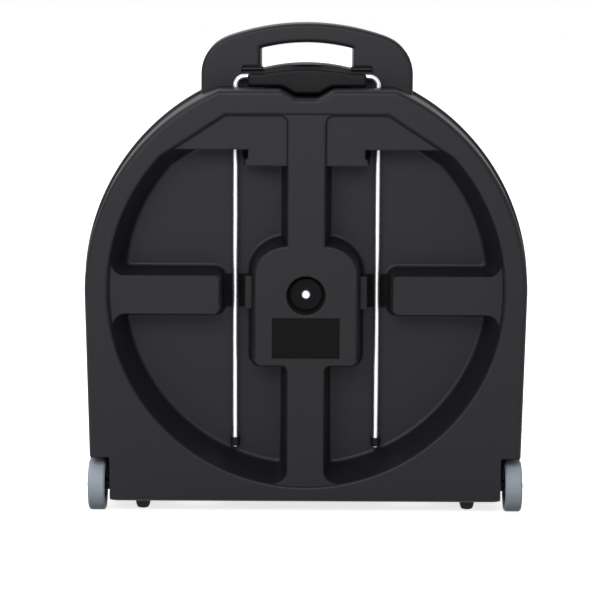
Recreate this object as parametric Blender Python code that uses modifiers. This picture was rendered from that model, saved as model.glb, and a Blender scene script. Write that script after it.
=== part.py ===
"""A hard moulded trolley case for cymbals, with a telescopic pull handle on its back.

The case stands on two wheels and four feet. Its back, with the pull rods, faces -Y, its lid faces
+Y, and +Z is up. The origin is on the floor, under the middle of the case.
"""

from math import asin, ceil, cos, pi, radians, sin, sqrt, tan

import bmesh
import bpy
from mathutils import Matrix, Vector

MM = 0.001

# Clearances
TOUCH = 0.3 * MM
RUNNING = 0.4 * MM

# The outline of both shells, seen from behind
ARC_RADIUS = 305 * MM
ARC_HEIGHT = 311 * MM
TOP_HEIGHT = 591 * MM
BOTTOM_HEIGHT = 18.7 * MM
BOTTOM_HALF = 298 * MM
CORNER_RADIUS = 38 * MM
OUTLINE_STEP = radians(6)
FILLET_STEP = radians(30)

# The shells from back to front
REAR_DEPTH = 95 * MM
LID_DEPTH = 90 * MM
WALL = 4 * MM
EDGE_RADIUS = 7.5 * MM
LID_EDGE_RADIUS = 16 * MM
LID_PANEL_RADIUS = 232 * MM
LID_PANEL_DEEP = 4 * MM
FLANK_DRAFT = 2.5 * MM
LIP_OUT = 4 * MM
LIP_THICK = 5 * MM

# The recess in the back, its deep pockets and what is left standing between them
RECESS_RADIUS = 274.4 * MM
RECESS_HEIGHT = 313.7 * MM
RECESS_TOP = 558.5 * MM
RECESS_TOP_HALF = 112 * MM
RECESS_CHAMFER_FROM = radians(36)
RECESS_DEPTH = 60 * MM
RING_DRAFT = 15 * MM
RIB_DRAFT = 8 * MM
RIB_SET_BACK = 4 * MM
BLOCK_SET_BACK = 10 * MM
CUT_STEP = 0.4 * MM
RIB_HALF = 25.3 * MM
POCKET_CORNER = 19 * MM
CROSS_HEIGHT = 308 * MM
CHANNEL_OUTER = 122 * MM
BOSS_HALF = 70 * MM
BOSS_BOTTOM = 210 * MM
BOSS_SHOULDER = 338 * MM
BOSS_TOP = 376 * MM
BOSS_CORNER = 8 * MM
BLOCK_LOW = 486 * MM
BLOCK_HIGH = 508.4 * MM
BLOCK_STEP = 84.5 * MM
BLOCK_CORNER = 12.5 * MM
NOTCH_WIDE = 8 * MM
NOTCH_HIGH = 11 * MM
PANEL_HALF = 47 * MM
PANEL_LOW = 220 * MM
PANEL_HIGH = 277 * MM
PANEL_DEEP = 1.6 * MM

# The carry handle that both shells form above the flat top
ARCH_HALF = 146.5 * MM
ARCH_TOP = 679.5 * MM
ARCH_CURVE = 330 * MM
ARCH_CORNER = 54 * MM
ARCH_ROOT = 572 * MM
ARCH_REAR = 34 * MM
ARCH_FRONT = 18 * MM
ARCH_EDGE = 6 * MM
GAP_HALF = 62.5 * MM
GAP_TOP = 651.5 * MM
GAP_LOW = 624.5 * MM
GAP_CURVE = 250 * MM
GAP_DRAFT = 2 * MM
NEST_HALF = 91 * MM
NEST_TOP = 622 * MM
NEST_DEEP = 8 * MM
NEST_CORNER = 6 * MM
SCOOP_HALF = 37 * MM
SCOOP_FLOOR_HALF = 15 * MM
SCOOP_DEEP = 12.5 * MM

# The telescopic pull handle
ROD_RADIUS = 4 * MM
ROD_APART = 98.5 * MM
ROD_SET_IN = 51 * MM
ROD_LOW = 88 * MM
ROD_BEND = 13 * MM
ROD_IN_GRIP = 8 * MM
ROD_STOP_RADIUS = 6.5 * MM
ROD_STOP_LONG = 12 * MM
GUIDE_RADIUS = 6.8 * MM
GUIDE_FLANGE_RADIUS = 8.5 * MM
GUIDE_FLANGE_THICK = 1.8 * MM
GRIP_HALF = 82 * MM
GRIP_LOW = 592.5 * MM
GRIP_HIGH = 617.5 * MM
GRIP_SHOULDER = 611 * MM
GRIP_THICK = 18 * MM
GRIP_EDGE = 4 * MM
GRIP_BULGE = 10 * MM
GRIP_CORNER = 5 * MM
GRIP_ARC_HALF = 64 * MM
GRIP_CURVE = 300 * MM

# Wheels, their wells and the feet
WHEEL_RADIUS = 36 * MM
WHEEL_WIDE = 24 * MM
WHEEL_MIDDLE = 290.5 * MM
WHEEL_BACK = 58 * MM
TYRE_THICK = 9 * MM
TREAD_EDGE = 2.5 * MM
HUB_BOSS = 10 * MM
HUB_WEB = 8 * MM
AXLE_NUT_THICK = 6 * MM
AXLE_NUT_RADIUS = 7.5 * MM
AXLE_RADIUS = 4 * MM
WELL_INNER = 271.5 * MM
WELL_OVER_WHEEL = 9.5 * MM
WELL_GAP = 5 * MM
FOOT_APART = 228 * MM
FOOT_REAR = 45 * MM
FOOT_FRONT = 60 * MM
FOOT_RADIUS = 11 * MM
FOOT_TIP_RADIUS = 6 * MM

# The lid's hinges under the parting line
HINGE_APART = 150 * MM
HINGE_WIDE = 60 * MM
HINGE_HEIGHT = 8.2 * MM
KNUCKLE_RADIUS = 3.6 * MM
HINGE_PIN_RADIUS = 1.7 * MM
LEAF_THICK = 2 * MM
LEAF_LONG = 26 * MM

# The draw latches in pockets of the flanks
LATCH_HEIGHT = 311 * MM
LATCH_POCKET_DEEP = 12 * MM
LATCH_POCKET_HIGH = 46 * MM
LATCH_POCKET_REAR = 46 * MM
LATCH_POCKET_FRONT = 32 * MM
LATCH_HIGH = 32 * MM
LATCH_PLATE = 1.6 * MM
LATCH_BASE_FROM = 6 * MM
LATCH_BASE_TO = 42 * MM
LATCH_PIVOT_BACK = 12 * MM
LATCH_PIVOT_OUT = 7.8 * MM
LATCH_PIVOT_RADIUS = 1.6 * MM
LATCH_CORNER = 3 * MM
LATCH_WINDOW_FROM = 8 * MM
LATCH_WINDOW_TO = 22 * MM
LATCH_WINDOW_HALF = 9.8 * MM
EAR_RADIUS = 3.6 * MM
EAR_THICK = 2.6 * MM
LEVER_HALF = 8.5 * MM
PADDLE_HALF = 12 * MM
PADDLE_FROM = 27 * MM
LEVER_END = 40.5 * MM
LEVER_THICK = 1.8 * MM
LEVER_BACK = 2.4 * MM
LEVER_BELLY = 3.4 * MM
PIN_STEPS = 12
BAIL_RADIUS = 1.2 * MM
BAIL_HALF = 17.6 * MM
BAIL_CORNER = 2.4 * MM
BAIL_TUCK = 2.5 * MM
BAIL_PIN_BACK = 17 * MM
BAIL_PIN_OUT = 3.8 * MM
BAIL_REACH = 18 * MM
KEEPER_FROM = 8 * MM
KEEPER_TO = 29 * MM
KEEPER_HALF = 13 * MM
HOOK_AT = 13 * MM
HOOK_HALF = 8 * MM
HOOK_HIGH = 6 * MM
HOOK_LIP = 4.5 * MM
HOOK_THICK = 1.4 * MM

# The clamp that holds the cymbals on their centre bolt
BOLT_HEIGHT = 308 * MM
BOLT_RADIUS = 4 * MM
BOLT_HEAD_RADIUS = 7 * MM
BOLT_HEAD_THICK = 5 * MM
BOLT_END = 52 * MM
HOLE_RADIUS = 26.7 * MM
HOLE_DEEP = 18 * MM
DISC_THICK = 3 * MM
BASE_FLANGE_RADIUS = 34 * MM
BASE_FLANGE_THICK = 5 * MM
BASE_RADIUS = 17 * MM
BASE_TOP = 12 * MM
SLEEVE_RADIUS = 6 * MM
SLEEVE_END = 28 * MM
FELT_RADIUS = 20 * MM
FELT_THICK = 6 * MM
CLAMP_AT = 20 * MM
CLAMP_RADIUS = 24 * MM
CLAMP_THICK = 3 * MM
NUT_RADIUS = 9 * MM
NUT_THICK = 9 * MM
WING_THICK = 3.2 * MM
WING_HIGH = 15 * MM
WING_REACH = 20 * MM

# Soft linings
LINER_THICK = 12 * MM
LINER_RADIUS = 262 * MM
LINER_HOLE = 48 * MM
LID_LINER_RADIUS = 228 * MM
LINER_CROWN = 2 * MM
DISC_RADIUS = 22 * MM

ROUND = 32
SMALL_ROUND = 16

# Places that follow from the sizes above
REAR_FACE = -REAR_DEPTH
POCKET_FLOOR = REAR_FACE + RECESS_DEPTH
ROD_BACK = REAR_DEPTH - ROD_SET_IN
WELL_ROOF = 2 * WHEEL_RADIUS + WELL_OVER_WHEEL
RIB_FACE = REAR_FACE + RIB_SET_BACK
BLOCK_FACE = REAR_FACE + BLOCK_SET_BACK
HOLE_FLOOR = RIB_FACE + HOLE_DEEP
ARCH_ROOM_LOW = TOP_HEIGHT + FLANK_DRAFT + LIP_OUT + MM
WELL_BACK = -WHEEL_BACK + WHEEL_RADIUS + WELL_GAP


def clear_scene():
    """Remove what the start file holds."""
    for obj in list(bpy.data.objects):
        bpy.data.objects.remove(obj, do_unlink=True)


def new_collection(name):
    made = bpy.data.collections.new(name)
    bpy.context.scene.collection.children.link(made)
    return made


clear_scene()
PARTS = new_collection("cymbal_trolley_case")
CUTTERS = new_collection("cutters")


def material(name, colour, roughness, metallic=0.0):
    made = bpy.data.materials.new(name)
    made.use_nodes = True
    shader = made.node_tree.nodes["Principled BSDF"]
    shader.inputs["Base Color"].default_value = (*colour, 1.0)
    shader.inputs["Roughness"].default_value = roughness
    shader.inputs["Metallic"].default_value = metallic
    return made


SHELL_PLASTIC = material("shell_plastic", (0.045, 0.045, 0.050), 0.55)
BLACK_PLASTIC = material("black_plastic", (0.020, 0.020, 0.022), 0.45)
GREY_RUBBER = material("grey_rubber", (0.28, 0.31, 0.34), 0.65)
BLACK_RUBBER = material("black_rubber", (0.025, 0.025, 0.025), 0.8)
BRIGHT_STEEL = material("bright_steel", (0.72, 0.73, 0.75), 0.22, 1.0)
DARK_STEEL = material("dark_steel", (0.20, 0.20, 0.21), 0.4, 1.0)
FOAM = material("foam", (0.06, 0.06, 0.065), 0.95)
FELT = material("felt", (0.10, 0.10, 0.11), 1.0)


def finish(obj, stuff, cutter=False):
    """Give an object its material and shading, and put it in its collection."""
    (CUTTERS if cutter else PARTS).objects.link(obj)
    if stuff:
        obj.data.materials.append(stuff)
    if cutter:
        obj.hide_render = True
        obj.display_type = "WIRE"
    return obj


def shade(mesh):
    mesh.shade_smooth()
    mesh.set_sharp_from_angle(angle=radians(32))


def mesh_object(name, bm, stuff=None, cutter=False):
    """Turn a bmesh into an object whose faces point outwards."""
    bmesh.ops.recalc_face_normals(bm, faces=bm.faces)
    mesh = bpy.data.meshes.new(name)
    bm.to_mesh(mesh)
    bm.free()
    shade(mesh)
    return finish(bpy.data.objects.new(name, mesh), stuff, cutter)


def boolean(target, cutter, operation="DIFFERENCE"):
    step = target.modifiers.new(f"{operation.lower()}_{cutter.name}"[:60], "BOOLEAN")
    step.operation = operation
    step.object = cutter
    return target


def mirrored(obj):
    """Give a piece drawn on the +X side its twin on the -X side."""
    step = obj.modifiers.new("twin", "MIRROR")
    step.use_axis[0] = True
    step.merge_threshold = 0.00005
    return obj


def axis_empty(name, place):
    """An empty on a joint's axis, which carries the pieces that move about it."""
    empty = bpy.data.objects.new(name, None)
    empty.empty_display_size = 0.03
    PARTS.objects.link(empty)
    empty.location = place
    return empty


def carry(empty, *pieces):
    bpy.context.view_layer.update()
    for piece in pieces:
        piece.parent = empty
        piece.matrix_parent_inverse = empty.matrix_world.inverted()


def rounded(corners):
    """Fillet an outline's corners, each (x, z, radius, draft of the edge that leaves it).

    It returns the outline's points, anticlockwise as the corners are, and the draft of the edge
    that leaves each point.
    """
    points, drafts = [], []
    for i, (x, z, radius, leaving) in enumerate(corners):
        here = Vector((x, z))
        if not radius:
            points.append(here)
            drafts.append(leaving)
            continue
        arriving = corners[i - 1][3]
        back = (Vector(corners[i - 1][:2]) - here).normalized()
        ahead = (Vector(corners[(i + 1) % len(corners)][:2]) - here).normalized()
        half = back.angle(ahead) / 2
        centre = here + (back + ahead).normalized() * radius / sin(half)
        start = here + back * radius / tan(half) - centre
        end = here + ahead * radius / tan(half) - centre
        turn = pi - 2 * half
        steps = max(2, ceil(turn / FILLET_STEP))
        for k in range(steps + 1):
            share = k / steps
            spoke = (start * sin((1 - share) * turn) + end * sin(share * turn)) / sin(turn)
            points.append(centre + spoke)
            blend = min(1.0, (k + 0.5) / steps)
            drafts.append(leaving if k == steps else arriving + (leaving - arriving) * blend)
    return points, drafts


def plain(corners):
    """Fillet an outline whose corners are (x, z, radius) and which has no draft of its own."""
    return rounded([(x, z, radius, 0.0) for x, z, radius in corners])[0]


def grown(points, amounts):
    """Move each edge of an anticlockwise outline outwards, by one amount or by one for each edge."""
    if isinstance(amounts, (int, float)):
        amounts = [amounts] * len(points)
    moved = []
    for i, here in enumerate(points):
        before, after = here - points[i - 1], points[(i + 1) % len(points)] - here
        a = Vector((before.y, -before.x)).normalized()
        b = Vector((after.y, -after.x)).normalized()
        reach_a, reach_b = amounts[i - 1], amounts[i]
        turn = a.x * b.y - a.y * b.x
        if abs(turn) < 0.02:
            moved.append(here + (a + b).normalized() * (reach_a + reach_b) / 2)
            continue
        step_x = (reach_a * b.y - reach_b * a.y) / turn
        step_z = (reach_b * a.x - reach_a * b.x) / turn
        moved.append(here + Vector((step_x, step_z)))
    return moved


def loft(name, sections, stuff=None, cutter=False):
    """A closed solid through outlines of equal length, given as (y, points), from back to front."""
    bm = bmesh.new()
    rings = [[bm.verts.new((p.x, y, p.y)) for p in points] for y, points in sections]
    for near, far in zip(rings, rings[1:]):
        for i in range(len(near)):
            j = (i + 1) % len(near)
            bm.faces.new((near[i], near[j], far[j], far[i]))
    bm.faces.new(rings[0])
    bm.faces.new(list(reversed(rings[-1])))
    return mesh_object(name, bm, stuff, cutter)


def edge_sections(outline, face, radius, inwards, steps=4):
    """Sections of a rounded edge, from the flat face at y = face to the full outline."""
    sections = []
    for k in range(steps + 1):
        turn = k * pi / 2 / steps
        inset = radius * (1 - sin(turn))
        sections.append((face + inwards * radius * (1 - cos(turn)), grown(outline, -inset)))
    return sections


def box(name, low, high, stuff=None, cutter=False):
    bm = bmesh.new()
    bmesh.ops.create_cube(bm, size=1.0)
    size = Vector(high) - Vector(low)
    middle = (Vector(high) + Vector(low)) / 2
    bmesh.ops.scale(bm, verts=bm.verts, vec=size)
    bmesh.ops.translate(bm, verts=bm.verts, vec=middle)
    return mesh_object(name, bm, stuff, cutter)


def along(axis):
    """The rotation that turns +Z to the named axis."""
    return {
        "X": Matrix.Rotation(pi / 2, 4, "Y"),
        "-X": Matrix.Rotation(-pi / 2, 4, "Y"),
        "Y": Matrix.Rotation(-pi / 2, 4, "X"),
        "-Y": Matrix.Rotation(pi / 2, 4, "X"),
        "Z": Matrix.Identity(4),
        "-Z": Matrix.Rotation(pi, 4, "X"),
    }[axis]


def turned(name, profile, axis, place, stuff=None, steps=ROUND, cutter=False):
    """A turned solid from (radius, height) points that run down its outer side.

    A profile that starts and ends at radius 0 makes a solid, and any other is closed into a ring.
    """
    bm = bmesh.new()
    verts = [bm.verts.new((radius, 0, height)) for radius, height in profile]
    pairs = list(zip(verts, verts[1:]))
    if profile[0][0] > 0:
        pairs.append((verts[-1], verts[0]))
    for pair in pairs:
        bm.edges.new(pair)
    mesh = bpy.data.meshes.new(name)
    bm.to_mesh(mesh)
    bm.free()
    obj = finish(bpy.data.objects.new(name, mesh), stuff, cutter)
    screw = obj.modifiers.new("turn", "SCREW")
    screw.steps = screw.render_steps = steps
    screw.use_merge_vertices = True
    screw.merge_threshold = 0.00001
    screw.use_smooth_shade = True
    obj.matrix_world = Matrix.Translation(place) @ along(axis)
    return obj


def cylinder(name, radius, low, high, axis, place, stuff=None, steps=ROUND, cutter=False):
    """A round bar from low to high along its axis."""
    bm = bmesh.new()
    size = {"radius1": radius, "radius2": radius, "depth": high - low}
    bmesh.ops.create_cone(bm, cap_ends=True, segments=steps, **size)
    bmesh.ops.translate(bm, verts=bm.verts, vec=(0, 0, (low + high) / 2))
    obj = mesh_object(name, bm, stuff, cutter)
    obj.matrix_world = Matrix.Translation(place) @ along(axis)
    return obj


def drilled(name, radius, low, high, axis, place, steps=SMALL_ROUND):
    """A round cutter from low to high along its axis."""
    return cylinder(name, radius, low, high, axis, place, steps=steps, cutter=True)


def wire(name, points, radius, stuff, resolution=2, cyclic=False):
    """A round bar or wire along a run of points, as a mesh."""
    curve = bpy.data.curves.new(name, "CURVE")
    curve.dimensions = "3D"
    curve.bevel_depth = radius
    curve.bevel_resolution = resolution
    curve.use_fill_caps = True
    spline = curve.splines.new("POLY")
    spline.points.add(len(points) - 1)
    for point, place in zip(spline.points, points):
        point.co = (*place, 1.0)
    spline.use_cyclic_u = cyclic
    drawn = bpy.data.objects.new(name + "_path", curve)
    bpy.context.scene.collection.objects.link(drawn)
    bpy.context.view_layer.update()
    mesh = bpy.data.meshes.new_from_object(drawn.evaluated_get(bpy.context.evaluated_depsgraph_get()))
    bpy.data.objects.remove(drawn, do_unlink=True)
    bm = bmesh.new()
    bm.from_mesh(mesh)
    bpy.data.meshes.remove(mesh)
    bmesh.ops.remove_doubles(bm, verts=bm.verts, dist=0.000005)
    return mesh_object(name, bm, stuff)


def bend(corner, arrive, leave, radius, steps=6):
    """Points round a corner of a wire, from the direction it arrives in to the one it leaves in."""
    corner, arrive, leave = Vector(corner), Vector(arrive).normalized(), Vector(leave).normalized()
    centre = corner - arrive * radius + leave * radius
    return [
        centre - leave * radius * cos(turn) + arrive * radius * sin(turn)
        for turn in (k * pi / 2 / steps for k in range(steps + 1))
    ]


def arc_points(radius, height, start, end, step=OUTLINE_STEP):
    """Points of an arc about (0, height), with the two ends."""
    count = max(2, ceil(abs(end - start) / step))
    angles = [start + (end - start) * k / count for k in range(count + 1)]
    return [(radius * cos(a), height + radius * sin(a)) for a in angles]


def case_outline():
    """The outline of the back: a round top cut flat, and sides that draw in a little to the floor."""
    flat = asin((TOP_HEIGHT - ARC_HEIGHT) / ARC_RADIUS)
    corners = [(-BOTTOM_HALF, BOTTOM_HEIGHT, CORNER_RADIUS), (BOTTOM_HALF, BOTTOM_HEIGHT, CORNER_RADIUS)]
    corners += [(x, z, 0) for x, z in arc_points(ARC_RADIUS, ARC_HEIGHT, 0, flat)]
    corners += [(x, z, 0) for x, z in arc_points(ARC_RADIUS, ARC_HEIGHT, pi - flat, pi)]
    return plain(corners)


OUTLINE = case_outline()
PARTING_OUTLINE = grown(OUTLINE, FLANK_DRAFT)


def chamfer_end():
    """Where the straight run below the recess's flat top meets its round part, on the +X side."""
    return (
        RECESS_RADIUS * cos(RECESS_CHAMFER_FROM),
        RECESS_HEIGHT + RECESS_RADIUS * sin(RECESS_CHAMFER_FROM),
    )


def chamfer_at(height):
    """The straight run's distance from the middle at a height."""
    x, z = chamfer_end()
    return x + (RECESS_TOP_HALF - x) * (height - z) / (RECESS_TOP - z)


def ring_at(height):
    """The round part's distance from the middle at a height."""
    return sqrt(RECESS_RADIUS**2 - (height - RECESS_HEIGHT) ** 2)


def ring_angle(height):
    return asin((height - RECESS_HEIGHT) / RECESS_RADIUS)


def recess_outline():
    """The whole recess: a circle with a flat top and a straight run at each side of it."""
    around = arc_points(RECESS_RADIUS, RECESS_HEIGHT, -pi - RECESS_CHAMFER_FROM, RECESS_CHAMFER_FROM)
    corners = [(x, z, 0) for x, z in around]
    corners += [(RECESS_TOP_HALF, RECESS_TOP, 0), (-RECESS_TOP_HALF, RECESS_TOP, 0)]
    return plain(corners)


def boss_side():
    """The +X side of the centre boss from its foot to the rib above it, as outline corners."""
    corners = [
        (RIB_HALF, BOSS_BOTTOM, BOSS_CORNER, RIB_DRAFT),
        (BOSS_HALF, BOSS_BOTTOM, BOSS_CORNER, RIB_DRAFT),
    ]
    steps = 6
    for k in range(steps + 1):
        turn = k * pi / 2 / steps
        x = RIB_HALF + (BOSS_HALF - RIB_HALF) * cos(turn)
        z = BOSS_SHOULDER + (BOSS_TOP - BOSS_SHOULDER) * sin(turn)
        corners.append((x, z, 0, RIB_DRAFT))
    return corners


def ring_side(low, high):
    """The +X ring wall between two heights, from low to high, without its two ends."""
    points = arc_points(RECESS_RADIUS, RECESS_HEIGHT, ring_angle(low), ring_angle(high))
    return [(x, z, 0, RING_DRAFT) for x, z in points[1:-1]]


def shelf_outline():
    """The +X part of the recess beside the rib and the boss, at the level of the guide blocks."""
    foot = RECESS_HEIGHT - sqrt(RECESS_RADIUS**2 - RIB_HALF**2)
    chamfer_x, chamfer_z = chamfer_end()
    corners = [(RIB_HALF, foot, POCKET_CORNER, RING_DRAFT)]
    corners += ring_side(foot, chamfer_z)[1:]
    corners += [
        (chamfer_x, chamfer_z, 0, RING_DRAFT),
        (RECESS_TOP_HALF, RECESS_TOP, 0, RING_DRAFT),
        (RIB_HALF, RECESS_TOP, BLOCK_CORNER, RIB_DRAFT),
    ]
    return rounded(corners + list(reversed(boss_side())))


def pocket_outline():
    """The +X deep pocket: it runs behind the rods, past the end of the side rib."""
    foot = RECESS_HEIGHT - sqrt(RECESS_RADIUS**2 - RIB_HALF**2)
    low, high = CROSS_HEIGHT - RIB_HALF, CROSS_HEIGHT + RIB_HALF
    chamfer_x, chamfer_z = chamfer_end()
    corners = [(RIB_HALF, foot, POCKET_CORNER, RING_DRAFT)]
    corners += ring_side(foot, low)[1:-1]
    corners += [
        (ring_at(low), low, POCKET_CORNER, RIB_DRAFT),
        (CHANNEL_OUTER, low, WALL + MM, RIB_DRAFT),
        (CHANNEL_OUTER, high, WALL + MM, RIB_DRAFT),
        (ring_at(high), high, POCKET_CORNER, RING_DRAFT),
    ]
    corners += ring_side(high, chamfer_z)[1:]
    corners += [
        (chamfer_x, chamfer_z, 0, RING_DRAFT),
        (chamfer_at(BLOCK_HIGH), BLOCK_HIGH, 0, 0.0),
        (BLOCK_STEP - NOTCH_WIDE / 2, BLOCK_HIGH, 0, 0.0),
        (BLOCK_STEP - NOTCH_WIDE / 2, BLOCK_HIGH - NOTCH_HIGH, 0, 0.0),
        (BLOCK_STEP, BLOCK_HIGH - NOTCH_HIGH - NOTCH_WIDE / 2, 0, 0.0),
        (BLOCK_STEP, BLOCK_LOW, 0, 0.0),
        (RIB_HALF, BLOCK_LOW, 0, RIB_DRAFT),
    ]
    return rounded(corners + list(reversed(boss_side())))


def drafted(name, outline, floor, grow=0.0):
    """A cutter that tapers from the outline at the back face by each edge's own draft.

    The draft is the one over the recess's full depth, and grow, the wall's thickness, gives the
    same cut for the inner side of the wall.
    """
    points, drafts = outline
    past = 10 * MM

    def at(y):
        share = (y - REAR_FACE) / RECESS_DEPTH
        return grown(points, [grow - draft * share for draft in drafts])

    end = floor + grow
    sections = [(REAR_FACE - past, at(REAR_FACE)), (REAR_FACE, at(REAR_FACE)), (end, at(end))]
    return loft(name, sections, cutter=True)


def flank_growth(y):
    """How far the flank stands out from the rear outline at a depth."""
    if y < 0:
        return FLANK_DRAFT * (y - REAR_FACE - EDGE_RADIUS) / (REAR_DEPTH - EDGE_RADIUS)
    return FLANK_DRAFT * (LID_DEPTH - LID_EDGE_RADIUS - y) / (LID_DEPTH - LID_EDGE_RADIUS)


def arch_outline(root=ARCH_ROOT):
    """The carry handle's outline: a low arc between two round shoulders."""
    centre = ARCH_TOP - ARCH_CURVE
    shoulder = centre + sqrt(ARCH_CURVE**2 - ARCH_HALF**2)
    lean = asin((ARCH_HALF - 0.7 * ARCH_CORNER) / ARCH_CURVE)
    top = [(x, z, 0) for x, z in arc_points(ARCH_CURVE, centre, pi / 2 - lean, pi / 2 + lean, radians(4))]
    corners = [(-ARCH_HALF, root, 0), (ARCH_HALF, root, 0), (ARCH_HALF, shoulder, ARCH_CORNER)]
    return plain(corners + top + [(-ARCH_HALF, shoulder, ARCH_CORNER)])


def gap_outline():
    """The finger gap: its upper and lower edges are both bowed upwards."""
    lean = asin(GAP_HALF / GAP_CURVE)
    corners = []
    for height, start, end in ((GAP_LOW, lean, -lean), (GAP_TOP, -lean, lean)):
        for k in range(7):
            turn = start + (end - start) * k / 6
            corners.append((-GAP_CURVE * sin(turn), height - GAP_CURVE * (1 - cos(turn)), 0))
    return plain(corners)


def gap_cutter(name, face, grow):
    """The finger gap in one half of the handle, wider at the outer face than at the parting line."""
    outline = gap_outline()
    past = 12 * MM if face > 0 else -12 * MM
    sections = [(-past, grown(outline, grow)), (0, grown(outline, grow))]
    sections.append((face + past, grown(outline, grow + GAP_DRAFT * (face + past) / face)))
    return loft(name, sorted(sections, key=lambda section: section[0]), cutter=True)


def latch_pocket(name, side, back, front, grow):
    """The pocket in one flank for a latch, open to the side."""
    floor = ARC_RADIUS - LATCH_POCKET_DEEP - grow
    half = LATCH_POCKET_HIGH / 2 + grow
    reach = sorted((side * floor, side * (ARC_RADIUS + 40 * MM)))
    low = (reach[0], back, LATCH_HEIGHT - half)
    return box(name, low, (reach[1], front, LATCH_HEIGHT + half), cutter=True)


def wheel_well(name, side, grow):
    reach = sorted((side * (WELL_INNER - grow), side * (ARC_RADIUS + 40 * MM)))
    low = (reach[0], REAR_FACE - 20 * MM, -20 * MM)
    return box(name, low, (reach[1], WELL_BACK + grow, WELL_ROOF + grow), cutter=True)


def scoop(name, grow):
    """The finger scoop in the flat top, from the back face to behind the grip."""
    floor = TOP_HEIGHT - SCOOP_DEEP
    corners = [
        (-SCOOP_FLOOR_HALF, floor, 12 * MM),
        (SCOOP_FLOOR_HALF, floor, 12 * MM),
        (SCOOP_HALF, TOP_HEIGHT, 0),
        (SCOOP_HALF, TOP_HEIGHT + 20 * MM, 0),
        (-SCOOP_HALF, TOP_HEIGHT + 20 * MM, 0),
        (-SCOOP_HALF, TOP_HEIGHT, 0),
    ]
    outline = grown(plain(corners), grow)
    end = -ROD_BACK + GRIP_THICK / 2 + 1.5 * MM + grow
    return loft(name, [(REAR_FACE - 20 * MM, outline), (end, outline)], cutter=True)


def nest(name, grow):
    """The shallow pocket in the handle that the pull grip folds down into."""
    low, high = TOP_HEIGHT + 0.6 * MM - grow, NEST_TOP + grow
    half = NEST_HALF + grow
    corners = [(-half, low, 0), (half, low, 0), (half, high, NEST_CORNER), (-half, high, NEST_CORNER)]
    outline = plain(corners)
    start, end = -ARCH_REAR - 10 * MM, -ARCH_REAR + NEST_DEEP + grow
    return loft(name, [(start, outline), (end, outline)], cutter=True)


def recess_cuts(target, grow):
    """Cut the recess into a solid: at grow = 0 the outer side of its wall, at the wall's thickness
    the inner side."""
    side = "inner" if grow else "outer"
    whole = recess_outline()
    step = (whole, [RING_DRAFT] * len(whole))
    boolean(target, drafted(f"rim_step_{side}", step, RIB_FACE, grow))
    points, drafts = shelf_outline()
    shelf = (grown(points, -CUT_STEP), drafts)
    boolean(target, mirrored(drafted(f"shelf_{side}", shelf, BLOCK_FACE, grow)))
    boolean(target, mirrored(drafted(f"pocket_{side}", pocket_outline(), POCKET_FLOOR, grow)))
    hole = cylinder(
        f"bolt_recess_{side}",
        HOLE_RADIUS + grow,
        REAR_FACE - 10 * MM,
        HOLE_FLOOR + grow,
        "Y",
        (0, 0, BOLT_HEIGHT),
        cutter=True,
    )
    boolean(target, hole)


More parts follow.
